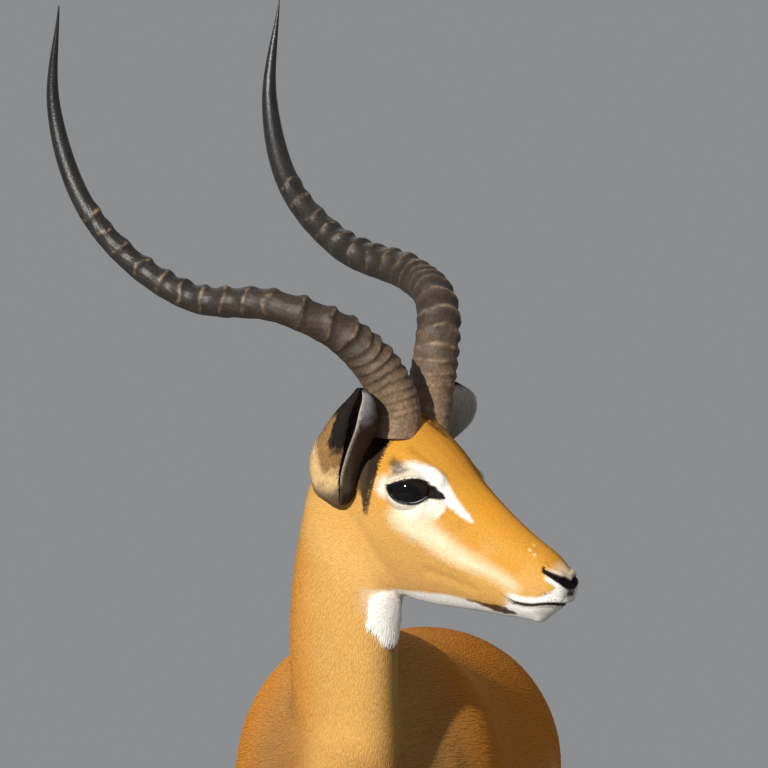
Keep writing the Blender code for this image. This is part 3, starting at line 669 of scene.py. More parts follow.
def mouth_gap(places):
    """Height above the line of the mouth, and how far the mouth is open there, from 0 to 1."""
    knots, heights = np.array(MOUTH_LINE).T
    return places[:, 2] - np.interp(places[:, 0], knots, heights), rising(181, 199, places[:, 0])


def nostril_gap(places):
    """Distance from the edge of the nearer nostril, and the place along it, in the skin's rest shape."""
    flat = np.array((1, 0.35, 1))
    distance, place = line_distance(places * flat, np.array(NOSTRIL_LINE) * flat)
    return distance - np.interp(place, np.arange(len(NOSTRIL_RADII)), NOSTRIL_RADII), place


def mirrored(places):
    """Head places with the far side folded onto the near one."""
    folded = places.copy()
    folded[:, 1] = np.abs(folded[:, 1])
    return folded


def refined(obj, wanted):
    """Splits the faces at which wanted, one value for each vertex, is true."""
    bm = bmesh.new()
    bm.from_mesh(obj.data)
    bm.verts.ensure_lookup_table()
    edges = [e for e in bm.edges if wanted[e.verts[0].index] and wanted[e.verts[1].index]]
    bmesh.ops.subdivide_edges(bm, edges=edges, cuts=1, use_grid_fill=True)
    bmesh.ops.triangulate(bm, faces=[f for f in bm.faces if len(f.verts) > 4])
    bm.to_mesh(obj.data)
    bm.free()


EYEBALL = 0.0234
LID, LID_SOFT = 0.0016, 0.0012  # how far the lids stand off the eyeball, and how softly they meet the skin
EYE_REAR, EYE_FRONT = -60.0, 78.0  # corners of the opening, in degrees from the eye's axis
LID_TURNS = (-60, -44, -28, -8, 12, 32, 50, 64, 72, 78)
UPPER_LID = (0, 8, 16, 26, 31.5, 33, 29.5, 21, 12, 0)
LOWER_LID = (0, -11, -20, -26, -26.5, -24, -15, -6, -2.5, 0)


def eye_axes(side):
    """The eye's centre, and its directions outward, forward along the lids and up."""
    centre = head_point(EYE_PLACE[0] - 0.0026, side * (EYE_PLACE[1] - 0.0006), EYE_PLACE[2] - 0.0014)
    outward = head_way(0.30, side * 0.94, 0.05)
    forward = head_way(46.5, -side * 10.5, 10.4)
    forward = unit(forward - outward * (forward @ outward))
    up = np.cross(outward, forward) * side
    return centre, outward, forward, up if up[2] > 0 else -up


def lid_height(turn, upper):
    """Height of a lid's edge over the turn from the eye's rear corner to its front one, in degrees."""
    heights = np.array(UPPER_LID if upper else LOWER_LID, float)[:, None]
    inside = np.clip(turn, EYE_REAR, EYE_FRONT)
    return blended(heights, np.array(LID_TURNS, float), np.ravel(inside))[:, 0].reshape(np.shape(turn))


def eye_angles(away, outward, forward, up):
    """Turn and tilt of places seen from the eye's centre, and how far past the lid and past the corners they
    lie, all in degrees."""
    reach = np.maximum(sizes(away), 1e-9)
    turn = np.degrees(np.arctan2(away @ forward, away @ outward))
    tilt = np.degrees(np.arcsin(np.clip(away @ up / reach, -1, 1)))
    over = np.abs(tilt) - np.where(tilt > 0, lid_height(turn, True), -lid_height(turn, False))
    return turn, tilt, over, np.maximum(turn - EYE_FRONT, EYE_REAR - turn)


def eye_ways(side, turn, tilt):
    """Directions from the eye's centre at a turn and a tilt in degrees."""
    _, outward, forward, up = eye_axes(side)
    t, s = np.radians(turn), np.radians(tilt)
    return (np.outer(np.cos(s) * np.cos(t), outward) + np.outer(np.cos(s) * np.sin(t), forward)
            + np.outer(np.sin(s), up))


def shape_eyes(points):
    """Opens the skin over each eyeball and lays the lids round it."""
    for side, _ in SIDES:
        centre, *axes = eye_axes(side)
        away = points - centre
        reach = sizes(away)
        near = (reach < 0.040) & (away @ axes[0] > -0.004)
        a = away[near]
        r = reach[near]
        turn, tilt, over, past = eye_angles(a, *axes)
        off = over * math.radians(1) * EYEBALL
        off = np.where(past > 0, np.hypot(past, tilt) * math.radians(1) * EYEBALL, off)
        lid = EYEBALL + LID
        low_limit = lid - 0.0004 * rising(0.004, 0.012, off)
        raised = 0.5 * (r + low_limit + np.sqrt((r - low_limit) ** 2 + LID_SOFT**2))
        raised = np.where(np.degrees(np.arccos(np.clip(a @ axes[0] / r, -1, 1))) < 98, raised, r)
        lowered = np.minimum(raised, lid + 0.0006 + 0.75 * np.maximum(off, 0))
        crease = 0.0011 * np.exp(-((off - 0.0042) / 0.0011) ** 2) * (tilt > 0) * rising(75, 40, np.abs(turn))
        open_share = rising(0.0003, -0.0008, off)
        new = (lowered - crease) * (1 - open_share) + (EYEBALL - 0.0035) * open_share
        fade = rising(0.036, 0.030, r)
        points[near] = centre + a * ((r + (new - r) * fade) / r)[:, None]


# how far a streak is raised (mm), its line in the head's millimetres, its radii and its soft edge
FACE_RELIEF = (
    (2.4, ((6, 54, -56), (12, 54, -76), (18.5, 52, -100)), (9, 6, 1.5), 2.5),
    (-2.2, ((84, 47, -78), (104, 40, -88)), (5, 4), 12),
    (1.6, ((70, 54, -96), (104, 42, -108), (138, 35, -112)), (3, 3, 2), 11),
    (-1.4, ((120, 30, -74), (165, 26, -84)), (5, 4), 14),
    (1.5, ((30, 54, -120), (62, 52, -138)), (8, 8), 26),
    (-1.5, ((100, 36, -128), (150, 28, -126)), (4, 3), 14),
    (1.2, ((12, 50, -100), (12, 50, -140)), (3, 3), 14),
    (-1.4, ((-8, 52, -120), (0, 50, -158)), (3, 3), 14),
)
# the same, level with the ground: lines that the turned head draws down the neck
NECK_RELIEF = (
    (-1.3, ((-112, -40, -178), (-104, -58, -240), (-98, -58, -300), (-112, -54, -350)), (1, 1, 2, 1), 12),
    (-0.8, ((-60, -58, -215), (-70, -62, -290), (-84, -66, -345)), (1, 1, 1), 10),
    (-0.9, ((40, 45, -178), (20, 48, -215), (-6, 50, -270)), (1, 1, 1), 12),
)


def shape_face(points, normals):
    """Mouth, nostrils, and the hollows and ridges of the face, pressed into the skin."""
    places = mirrored(head_places(points))
    head = head_share(points)
    move = np.zeros(len(points))
    a, side, v = places.T
    gap, mouth = mouth_gap(places)
    move -= 2.6 * mouth * np.exp(-((gap / 1.5) ** 2))
    move += 0.9 * mouth * np.exp(-(((gap - 5.0) / 3.0) ** 2))
    move -= 1.2 * mouth * rising(-1, -4, gap)
    off, place = nostril_gap(places)
    move -= 6.0 * np.interp(place, (0, 1.5, 3, 4.5, 6), (0.2, 0.6, 1, 0.6, 0.15)) * rising(0.6, -1.8, off)
    move += 0.9 * np.exp(-(((off - 2.0) / 1.5) ** 2)) * rising(-84, -79, v)
    move -= 0.9 * np.exp(-((side / 0.9) ** 2)) * rising(238, 243, a) * rising(-108, -104, v)
    move -= 2.6 * rising(205, 238, a) * rising(-2, 4, gap)
    back = 6.5 * rising(212, 238, a) * rising(6, -1, gap) * head
    for raised, *mark in FACE_RELIEF:
        move += raised * streak(places, *mark)
    return points + (move * head / 1000)[:, None] * normals - back[:, None] / 1000 * head_way(1, 0, 0)


def neck_folds(points, normals):
    """Shallow folds of the neck, and the swell of the throat patch."""
    near = neck_share(points) * (1 - head_share(points))
    move = sum(raised * streak(level_places(points), *mark) for raised, *mark in NECK_RELIEF)
    move = move * near + 5.5 * throat_patch(points)
    return points + (move / 1000)[:, None] * normals


# outward, forward and upward: where the front of each foreleg leaves the chest
ELBOW_FRONT = (0.085, 0.335, 0.660)


def skin_surface():
    skin = fused_skin()
    points = points_of(skin.data)
    places = mirrored(head_places(points))
    eye = np.array(EYE_PLACE) * 1000
    wanted = sizes(places - eye) < 33
    wanted |= (nostril_gap(places)[0] < 6) & (places[:, 0] > 205)
    wanted |= (np.abs(mouth_gap(places)[0]) < 6) & (places[:, 0] > 178)
    refined(skin, wanted & (head_share(points) > 0.5))
    points = points_of(skin.data)
    places = mirrored(head_places(points))
    store(skin.data, "Rest", points, "FLOAT_VECTOR")
    shaped = shape_face(points, normals_of(skin.data))
    shape_eyes(shaped)
    set_points(skin.data, neck_folds(shaped, normals_of(skin.data)))
    nose = (places[:, 0] > 175) * head_share(points)
    smoothed(skin.data, 2, 0.5 * (sizes(places - eye) < 40) + 0.35 * nose)
    shaped = points_of(skin.data)
    ledge = rising(0.075, 0.035, sizes(np.abs(shaped) - ELBOW_FRONT)) * (shaped[:, 1] < 0)
    smoothed(skin.data, 12, ledge, push=0)
    return skin


# ---- ears ----
EAR_ROWS, EAR_COUNT = 64, 44


def ear_ring(row, side):
    """One section of the ear: a wall that starts at the front edge, runs round the inside and the back,
    and ends at the slit's other edge, then comes back along its inner face."""
    up, forward, outward, back, outside, inside, edge, slit = row
    outward += 5 * rising(-80, -30, up) * (side > 0)
    middle, opened = EAR_SLIT[side]
    start, end = middle - slit * opened, middle + slit * opened - 360
    coarse = np.linspace(start, end, 8)
    places = (end - 1, -270, -180, -90, start + 1)
    reaches = (outside, outside, back, inside, edge) if side < 0 else (edge, outside, back, inside, inside)
    order = np.argsort(places)
    reach = np.interp(coarse, np.array(places)[order], np.array(reaches)[order])
    reach[1:-1] = np.convolve(reach, np.array((1, 2, 1)) / 4, "same")[1:-1]
    turn = np.linspace(start, end, EAR_COUNT)
    reach = blended(reach[:, None], np.arange(8), np.linspace(0, 7, EAR_COUNT))[:, 0] - 0.6
    steps = np.arange(EAR_COUNT)
    edges = np.minimum(steps, steps[::-1]) / (0.08 * EAR_COUNT)
    wall = np.minimum(EAR_WALL * 1000 * (0.35 + 0.65 * np.clip(edges, 0, 1)), 0.6 * reach)
    ring = []
    for angles, reaches in ((turn, reach), (turn[::-1], (reach - wall)[::-1])):
        for a, r in zip(np.radians(angles), reaches):
            ring.append(level_point((forward + r * math.cos(a)) / 1000,
                                    side * (outward + r * math.sin(a)) / 1000, up / 1000))
    return np.array(ring)


def ear_grid(side):
    """The ear's points: row from base to tip, then round the wall's outer face and back along its inner."""
    return np.array([ear_ring(row, side) for row in evenly(EAR_SECTIONS, EAR_ROWS)])


def ear_places(points, side):
    """Height on the ear, places forward and outward of its middle, and the share of them that faces the sun,
    in millimetres."""
    forward, left, up = level_places(points).T
    rows = np.array(EAR_SECTIONS).T
    ahead = forward - np.interp(up, rows[0], rows[1])
    outward = left * side - np.interp(up, rows[0], rows[2])
    return up, ahead, outward, 0.83 * ahead + 0.56 * outward + 2 * noise(points, 0.0025, 4)


def ear_colours(points, side):
    """Cream and brown behind, black at the tip, grey-brown in front of the slit darkened with painted shade,
    pale inside; on the far ear, painted shadow of the horn in dark grey.
    """
    up, ahead, outward, toward = ear_places(points, side)
    turn = np.degrees(np.arctan2(outward, ahead)) % 360
    slit = EAR_SLIT[side][0]
    blotch, fleck = noise(points, 0.007, 3), noise(points, 0.0025, 4)
    height = up + 5 * blotch + 2.5 * fleck
    behind = ((turn - slit) % 360) < 192
    front = ~behind
    away = (slit - turn) % 360
    pale = rising(60, 22, away) * rising(-14, 6, up + 5 * blotch)
    lit = side > 0
    return layered(
        np.array((0.70, 0.49, 0.23)),
        ((0.26, 0.18, 0.11), rising(-66, -82, height)),
        (BROWN, rising(-34, -22, height + 30 * rising(135, 90, turn) * behind)),
        (BLACK * 1.4, rising(-8, 2, height + 36 * rising(114, 80, turn) * behind)),
        # grey-brown fur of the ear's front flap, darkened with painted shade
        (np.array((0.070, 0.046, 0.032)) * (1 + 0.35 * fleck[:, None]), 0.96 * front),
        ((0.36, 0.35, 0.36), front * 0.9 * pale),
        ((0.42, 0.38, 0.34), front * rising(9, 4, away) * rising(-78, -60, up)),
        # far ear: dark grey painted shadow of the horn on the side away from the sun; the white hair beyond
        # it is its own colour
        ((0.15, 0.13, 0.12), lit * rising(10, 7, toward) * rising(-40, -30, up)),
        (WHITE * 1.05, lit * rising(8, 11, toward) * rising(-44, -36, up + 3 * fleck)),
        (BLACK * 1.4, rising(20, 26, up + 3 * fleck)),
    )


# ---- markings ----
def eye_off(points):
    """Distance in millimetres outside the opening of the nearer eye, and the turn and tilt there."""
    best = np.full(len(points), 1e3)
    turns, tilts = np.zeros(len(points)), np.zeros(len(points))
    for side, _ in SIDES:
        centre, *axes = eye_axes(side)
        away = points - centre
        reach = sizes(away)
        turn, tilt, over, past = eye_angles(away, *axes)
        scale = math.radians(1) * EYEBALL * 1000
        above = np.clip(reach - EYEBALL - 0.0028, 0, None) * 1000
        off = np.where(past > 0, np.hypot(np.hypot(past, tilt) * scale, above), over * scale)
        off = np.where(reach < 0.045, off, 1e3)
        closer = off < best
        best[closer], turns[closer], tilts[closer] = off[closer], turn[closer], tilt[closer]
    return best, turns, tilts


# marks on the head: a line in the head's millimetres, its radii and its soft edge
HEAD_MARKS = {
    "cheek": (((62, 56, -84), (92, 47, -91), (117, 40, -98.5), (141, 34, -100), (166, 30, -100.5),
               (194, 28, -104)), (14, 12, 8.5, 6, 4.5, 3), 21),
    "over eye": (((38, 51, -46), (50, 49, -41), (64, 46, -38), (78, 43, -43)), (7, 10, 11, 9), 8),
    "brow": (((50, 48, -38), (62, 45, -36), (71.5, 42, -36), (82, 39.6, -41), (91, 36, -48.5),
              (103, 32.8, -55.7), (118, 29.3, -61.2), (124, 28, -64)),
             (0.5, 5.5, 9.5, 9.5, 7.5, 5.2, 3.0, 1.2), 5),
    "smudge": (((30, 52, -39), (38, 51, -43), (45, 49, -48)), (5, 8, 6), 8),
    "crown": (((12, 0, 4), (24, 1, 2), (36, 1, -2), (50, 0, -7)), (4, 7, 5, 2), 6),
    # the next two marks: dark fur in front of the ear, with the cast shadow of the horn and ear painted over
    # it
    "ear wedge shadow and fur": (((6, 47, -12), (5, 50, -32), (7, 53, -53), (12, 54, -74.5), (18.5, 52, -99)),
                  (12, 11, 9, 6, 1.3), 2.5),
    "ear base shadow and fur": (((-8, 50, -44), (-1, 52, -64), (9, 54, -82)), (11, 10, 5), 2.5),
    "scar": (((54, -26, -17), (60, -29, -20), (65, -31, -25)), (0.8, 0.8, 0.6), 1.4),
    "jaw": (((142, 19.5, -140.5), (164, 17.5, -139), (183, 16, -136), (196, 15, -133)),
            (0.6, 4.2, 7.0, 3.2), 3),
    "soft corner": (((68, 46, -50), (72.5, 45, -53), (76, 44, -55.5)), (3.5, 5, 4), 5),
    "corner": (((68, 46, -50), (72.5, 45, -53), (76, 44, -55.5)), (3.2, 3.4, 1.2), 2.2),
}
STRONG_SPOTS = (((169, 28, -90), 9), ((184, 26, -87), 7), ((133, 32, -83), 9), ((131, 15, -46), 12),
                ((112, 8, -36), 8))
PALE_SPOTS = ((191, 17, -65.5), (190.5, 11, -60.5), (198, 17, -67.5))


def head_colours(points):
    own = head_places(points)
    places = mirrored(own)
    a, side, v = places.T
    broad, fine = noise(points, 0.016, 11), noise(points, 0.004, 12)
    rough = places + (1.4 * fine + 1.2 * broad)[:, None]
    off, turn, tilt = eye_off(points)
    ring = rising(16, 6, off + 2 * broad)
    gap, mouth = mouth_gap(places)
    off_nostril = nostril_gap(places)[0]
    # colour of the dark patch before the ear: dark fur with painted shadow of the horn and ear, darkest near
    # the horn
    wedge_shadow_and_fur = np.array((0.024, 0.014, 0.009)) + rising(-58, -90, v)[:, None] * (0.026, 0.016, 0.010)
    lip_edge = np.interp(a, (176, 186, 205, 218, 226, 232, 237, 241),
                         (-115, -112, -109.5, -105, -100, -93, -85, -80))
    jaw_edge = np.interp(a, (50, 98, 123, 148, 176, 188, 198), (-171, -154.7, -146, -140.5, -138, -128, -118))
    # the pale grey ring on the upper edge of the nostril is a painted highlight
    rim = rising(3.2, 1.2, off_nostril) * rising(-84, -78, v) * rising(216, 224, a)
    speck = rising(0.25, 0.60, noise(points, 0.0009, 21)) * rising(212, 228, a) * rising(-88, -96, v)
    fleck = rising(0.35, 0.7, noise(points, 0.0013, 22)) * rising(0, -12, tilt) * rising(7.5, 3, off)
    # painted shade in the crease above the upper lid
    crease = np.exp(-(((off - 4.0) / 0.9) ** 2)) * (tilt > 0) * rising(66, 30, np.abs(turn))

    def mark(name, at=rough):
        return streak(at, *HEAD_MARKS[name])

    def from_spot(spot):
        return sizes(rough - spot)

    return layered(
        ORANGE,
        (TAN, rising(-58, -105, v + 6 * broad)),
        (TAN * (1.12, 1.2, 1.5), rising(-120, -160, v) * 0.6),
        (ORANGE * (0.93, 0.85, 0.7), rising(26, 10, side) * rising(-100, -60, v) * 0.7),
        *((ORANGE * (1.02, 0.92, 0.6), 0.6 * rising(radius + 8, radius - 6, from_spot(spot)))
          for spot, radius in STRONG_SPOTS),
        ((0.84, 0.72, 0.52), 0.85 * mark("cheek")),
        (CREAM, 0.85 * ring),
        (CREAM * 1.06, 0.6 * (ring * rising(0, -10, tilt))),
        (CREAM, 0.85 * mark("over eye")),
        (WHITE, mark("brow")),
        (DARK * 1.8, 0.85 * mark("smudge") * rising(-1.3, 0.3, fine)),
        ((0.095, 0.045, 0.018), 0.85 * mark("crown") * rising(-0.6, 0.1, fine + 0.3 * broad)),
        # dark fur before the ear, with the cast shadow of the horn and ear painted in
        (wedge_shadow_and_fur, mark("ear wedge shadow and fur", places + 0.8 * fine[:, None])),
        ((0.060, 0.036, 0.022), 0.9 * mark("ear base shadow and fur", places + fine[:, None])),
        (DARK * 3.5, 0.7 * mark("scar", own)),
        # muzzle: cream above the nose, white lips and chin
        # cream above the nose, brightened with painted light on the nose pad
        ((0.90, 0.76, 0.56), 0.9 * rising(214, 238, a) * rising(-85, -76, v)),
        (WHITE, rising(lip_edge + 2.5, lip_edge - 2.5, v + 1.2 * fine) * rising(182, 198, a)),
        (WHITE, rising(jaw_edge + 3, jaw_edge - 2, v + 1.5 * broad) * rising(30, 62, a)),
        ((0.075, 0.034, 0.014), 0.95 * mark("jaw")),
        ((0.13, 0.13, 0.18), 0.8 * speck * rising(-114, -108, v)),
        *((PALE, 0.9 * rising(2.4, 0.7, from_spot(spot))) for spot in PALE_SPOTS),
        # painted shade in the groove of the mouth
        (DARK * 0.6, rising(2.2, 0.9, np.abs(gap + 0.4)) * mouth),
        (WHITE, rising(6.5, 3.5, off_nostril) * rising(-78, -82, v) * rising(217, 227, a)),
        # painted highlight on the upper edge of the nostril
        ((0.60, 0.52, 0.43), 0.7 * rim),
        (BLACK * 0.7, rising(0.7, -0.3, off_nostril)),
        (BLACK, rising(241.5, 243.5, a) * rising(8, 5, side) * rising(-95, -91, v) * rising(-81, -84, v)),
        # lids
        (BLACK, rising(1.7, 0.6, off)),
        (DARK, 0.6 * mark("soft corner")),
        (BLACK, mark("corner", places)),
        (DARK, 0.75 * fleck),
        # painted shade in the crease above the upper lid
        (DARK * 3, 0.45 * crease),
    )


def neck_colours(points):
    broad = noise(points, 0.03, 31)
    forward, _, up = level_places(points).T
    return layered(
        NECK * (1 + 0.05 * broad)[:, None],
        (BACK * 1.25, 0.45 * rising(-70, -125, forward + 8 * broad)),
        (FLANK * 1.12, 0.35 * rising(-50, 20, forward) * rising(-330, -230, up)),
    )


THROAT = ((56, -24, -188), (63, -23, -200), (69, -20, -210))


def throat_patch(points):
    rough = head_places(points) + (1.3 * noise(points, 0.006, 33) + 1.2 * noise(points, 0.02, 34))[:, None]
    return streak(rough, THROAT, (17, 20, 14), 5)


def trunk_colours(points):
    x, y, z = points.T
    out = np.abs(x)
    broad, fine = noise(points, 0.05, 41), noise(points, 0.010, 42)
    height = z + 0.010 * broad + 0.003 * fine
    saddle_edge = np.interp(y, (-0.42, -0.30, -0.10, 0.20, 0.42), (0.60, 0.70, 0.755, 0.765, 0.66))
    saddle = rising(saddle_edge - 0.030, saddle_edge + 0.035, height)
    belly_edge = np.interp(y, (-0.42, -0.34, -0.15, 0.05, 0.16, 0.30),
                           (0.50, 0.585, 0.600, 0.612, 0.625, 0.64))
    limb = np.maximum(rising(-0.13, -0.19, y), rising(0.09, 0.15, y)) * rising(0.070, 0.090, out)
    stripe = np.exp(-(((out - 0.060 - 0.008 * broad) / 0.0095) ** 4))
    stripe = stripe * rising(0.355, 0.385, y) * rising(0.615, 0.66, z) * rising(0.895, 0.86, z)
    return layered(
        FLANK,
        (BACK * 1.12, saddle),
        (SHOULDER, rising(-0.16, -0.28, y) * saddle),
        (BACK * 0.85, 0.6 * (np.exp(-((x / 0.035) ** 2)) * rising(0.84, 0.88, z))),
        (WHITE, rising(belly_edge + 0.012, belly_edge - 0.012, height) * (1 - limb)),
        (WHITE, rising(0.060, 0.040, out) * rising(0.70, 0.66, z) * (y > -0.25) * (y < 0.40)),
        (WHITE, rising(0.385, 0.415, y) * rising(0.050, 0.030, out) * rising(0.86, 0.80, z)),
        (BLACK * 1.4, 0.95 * stripe),
    )


def leg_colours(points):
    x, y, z = points.T
    broad, fine = noise(points, 0.03, 51), noise(points, 0.006, 52)
    hind = y > 0
    inward = np.where(hind, at_height(HINDLEG_SECTIONS, z, 0), at_height(FORELEG_SECTIONS, z, 0)) - np.abs(x)
    before = rising(0.0, -0.010, y - np.where(hind, 0.36, -0.27))
    shin = before * rising(0.28, 0.24, z) * rising(0.05, 0.09, z)
    return layered(
        FLANK * 1.02,
        (BACK * 1.5, 0.35 * rising(0.40, 0.60, z)),
        (WHITE, 0.85 * rising(-0.002, 0.009, inward + 0.003 * broad) * rising(0.16, 0.30, z)),
        (PALE, 0.35 * rising(0.30, 0.06, z)),
        (BROWN, 0.25 * shin),
        (DARK * 2.0, 0.65 * rising(0.062, 0.045, z + 0.004 * fine)),
    )


def gland_share(points):
    """The black tufts above the hind fetlocks, on the back of the leg."""
    spots = []
    for side, _ in SIDES:
        shift = STEPS["hind", side] * (1 - 0.165 / HINDLEG_SECTIONS[0][2])
        away = (points - (side * 0.0765, 0.380 + shift, 0.165)) / (0.016, 0.016, 0.034)
        spots.append(sizes(away))
    return rising(1.15, 0.85, np.minimum(*spots) + 0.1 * noise(points, 0.008, 61))


def tail_colours(points):
    x, y, z = points.T
    top = rising(0.007, 0.003, np.abs(x) + 0.0015 * noise(points, 0.006, 62))
    outer = rising(0.450, 0.462, y + 0.2 * np.clip(z - 0.80, 0, 1))
    return layered(WHITE, (BACK * 1.3, rising(0.79, 0.83, z)),
                   (BLACK * 1.5, 0.92 * top * outer * rising(0.60, 0.68, z)))


COLOURED_PARTS = ((leg_colours, leg_share), (neck_colours, neck_share), (head_colours, head_share),
                  (tail_colours, tail_share))


def coat_colours(points):
    """The colour of the coat anywhere on the body, the ears apart."""
    fringe = streak(head_places(points), ((72, -20, -225), (75, -12, -227)), (2.5, 2.5), 4)
    return layered(
        trunk_colours(points),
        *((colours_of(points), share_of(points)) for colours_of, share_of in COLOURED_PARTS),
        (WHITE * 1.04, throat_patch(points)),
        ((0.17, 0.14, 0.12), 0.55 * fringe),
        (BLACK * 1.3, gland_share(points)),
    )


# ---- the coat ----
def lie_of(points):
    """The way the hair points, before it is laid onto the surface."""
    cheek = rising(-60, -120, head_places(points)[:, 2])[:, None]
    chest = rising(-0.30, -0.39, points[:, 1])
    fall = (0, 0.12, -1.0)
    way = layered(
        np.array((0, 1.0, -0.42)),
        ((0, 0.1, -1.0), chest),
        (fall, leg_share(points)),
        (-UP - 0.10 * AHEAD, neck_share(points)),
        (-head_way(1, 0, 0) - cheek * 0.55 * UP, head_share(points)),
        (fall, tail_share(points)),
    )
    sway = np.stack([noise(points, 0.05, 71 + k) for k in range(3)], axis=1)
    return unit(way) + 0.12 * sway


def hair_sizes(points):
    """Length, width and lift (degrees) of a tuft at each point, and how many layers deep the coat is."""
    head, neck, leg, tail = (share(points) for share in (head_share, neck_share, leg_share, tail_share))
    off = eye_off(points)[0]
    face = np.interp(head_places(points)[:, 0], (-50, 30, 120, 200, 240), (5.2, 3.8, 3.2, 2.5, 1.6))
    face = np.where(off < 12, np.minimum(face, 1.8 + 0.12 * off), face)
    gland = gland_share(points)
    length = 9.5 + 4 * rising(0.62, 0.57, points[:, 2]) * (1 - leg)
    length = length + (np.interp(points[:, 2], (0.03, 0.30, 0.60), (4.2, 6.5, 9.0)) - length) * leg
    length = length + (6.8 - length) * neck + 1.6 * throat_patch(points) * neck
    length = length + (face - length) * head
    length = length + (16 - length) * gland
    width = 0.46 + 0.085 * length + 0.35 * leg + 0.20 * (1 - neck) * (1 - head)
    lift = 4.0 + 1.5 * head - 1.0 * neck + 14 * gland
    layers = 1.25 - 0.10 * leg + 0.35 * neck + 0.45 * head
    return length / 1000, width / 1000, lift, layers * (1 - tail)


def curvature_along(points, normals, edges, way):
    """How fast the surface bends away along the hair at each vertex."""
    a, b = edges
    step = points[b] - points[a]
    reach = np.maximum((step * step).sum(axis=1), 1e-12)
    bend = ((normals[b] - normals[a]) * step).sum(axis=1) / reach
    total, weight = np.zeros(len(points)), np.full(len(points), 1e-9)
    for end in (a, b):
        share = (step * way[end]).sum(axis=1) ** 2 / reach
        total += np.bincount(end, share * bend, len(points))
        weight += np.bincount(end, share, len(points))
    return np.clip(total / weight, -60, 60)


PATCH = 0.003  # size of a tuft on the OFBake map
# a tuft has three points across its root, three across its middle and one at its tip
TUFT_CORNERS = np.array(((0, 4, 1), (0, 3, 4), (1, 5, 2), (1, 4, 5), (3, 6, 4), (4, 6, 5)))
TUFT_SHADES = np.array((0.90, 0.93, 0.90, 1.0, 1.02, 1.0, 1.06))
TUFT_LEAN = np.array((-0.22, 0, 0.22, -0.18, 0, 0.18, 0))  # it is shaded as the skin is, a little rounder
PATCH_PLACES = np.array(((-0.5, -0.5), (0, -0.5), (0.5, -0.5), (-0.4, 0.1), (0, 0.1), (0.4, 0.1), (0, 0.5)))


def blades(root, normal, way, length, width, lift, bend):
    """The points of thin ridged blades, which follow the surface as it bends away under them."""
    across = np.cross(normal, way)
    sine = np.sin(np.radians(lift))[:, None]
    length, width, bend = length[:, None], width[:, None], bend[:, None]
    middle = root + 0.55 * length * way + normal * (0.60 * length * sine - bend * (0.55 * length) ** 2 / 2)
    tip = root + length * way + normal * (length * sine - bend * length**2 / 2)
    start = root - 0.0003 * normal
    return np.stack((start - across * width / 2, start + normal * 0.10 * width, start + across * width / 2,
                     middle - across * 0.44 * width, middle + normal * 0.10 * width,
                     middle + across * 0.44 * width, tip), axis=1)


def coat_piece(name, slot, root, normal, way, length, width, lift, bend, colour, chart):
    """One mesh of tufts with its colours and its OFBake map; chart holds each tuft's place on the map."""
    points = blades(root, normal, way, length, width, lift, bend).reshape(-1, 3)
    triangles = (np.arange(len(root))[:, None, None] * 7 + TUFT_CORNERS[None]).reshape(-1, 3)
    mesh = triangle_mesh(name, points + SHIFT, triangles)
    paint(mesh, (colour[:, None, :] * TUFT_SHADES[None, :, None]).reshape(-1, 3))
    places = np.clip(chart, 0.002, 0.998)[:, None, :] + PATCH * PATCH_PLACES[None]
    loops = places[:, TUFT_CORNERS.ravel(), :].reshape(-1, 2).astype(np.float32)
    mesh.uv_layers.new(name="OFBake").data.foreach_set("uv", loops.ravel())
    mesh.shade_smooth()
    lean = np.cross(normal, way)[:, None, :] * TUFT_LEAN[None, :, None]
    store(mesh, "custom_normal", unit((normal[:, None, :] + lean).reshape(-1, 3)), "FLOAT_VECTOR")
    mesh.materials.append(bpy.data.materials["hair"])
    obj = linked(name, mesh)
    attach(obj, "root")


def scattered(triangles, points, weight):
    """Roots spread over the faces in proportion to weight, tufts for each square metre, at each vertex."""
    a, b, c = (points[triangles[:, k]] for k in range(3))
    area = sizes(np.cross(b - a, c - a)) / 2
    total = np.cumsum(area * weight[triangles].mean(axis=1))
    count = int(total[-1])
    at = (np.arange(count) + rng.random(count)) / count * total[-1]
    face = np.minimum(np.searchsorted(total, at), len(triangles) - 1)
    u, v = rng.random((2, count))
    over = u + v > 1
    u[over], v[over] = 1 - u[over], 1 - v[over]
    shares = np.stack((1 - u - v, u, v), axis=1)
    return triangles[face], shares


def chart_of(region, points):
    """Places on an unwrap of the skin: round its axis and along it, from 0 to 1."""
    x, y, z = points.T
    if region.startswith(("head", "muzzle")):
        a, side, v = mirrored(head_places(points)).T
        rows = np.array(HEAD_SECTIONS).T
        turn = np.arctan2(side, v - np.interp(a, rows[0], (rows[1] + rows[2]) / 2)) / math.pi
        return np.stack((0.02 + 0.96 * turn, np.interp(a, (-130, 250), (0.02, 0.98))), axis=1)
    if region.startswith(("neck", "foreleg", "hindleg")):
        rows = {"n": NECK_SECTIONS, "f": FORELEG_SECTIONS, "h": HINDLEG_SECTIONS}[region[0]]
        neck = region.startswith("neck")
        turn = np.arctan2((x if neck else np.abs(x)) - at_height(rows, z, 0), y - at_height(rows, z, 1))
        rise = np.interp(z, (0.72, 1.18) if neck else (0.02, 0.72), (0.02, 0.98))
        return np.stack((0.5 + 0.48 * turn / math.pi, rise), axis=1)
    turn = np.arctan2(np.abs(x), z - 0.745) / math.pi
    return np.stack((0.02 + 0.96 * turn, np.interp(y, (-0.45, 0.48), (0.02, 0.98))), axis=1)


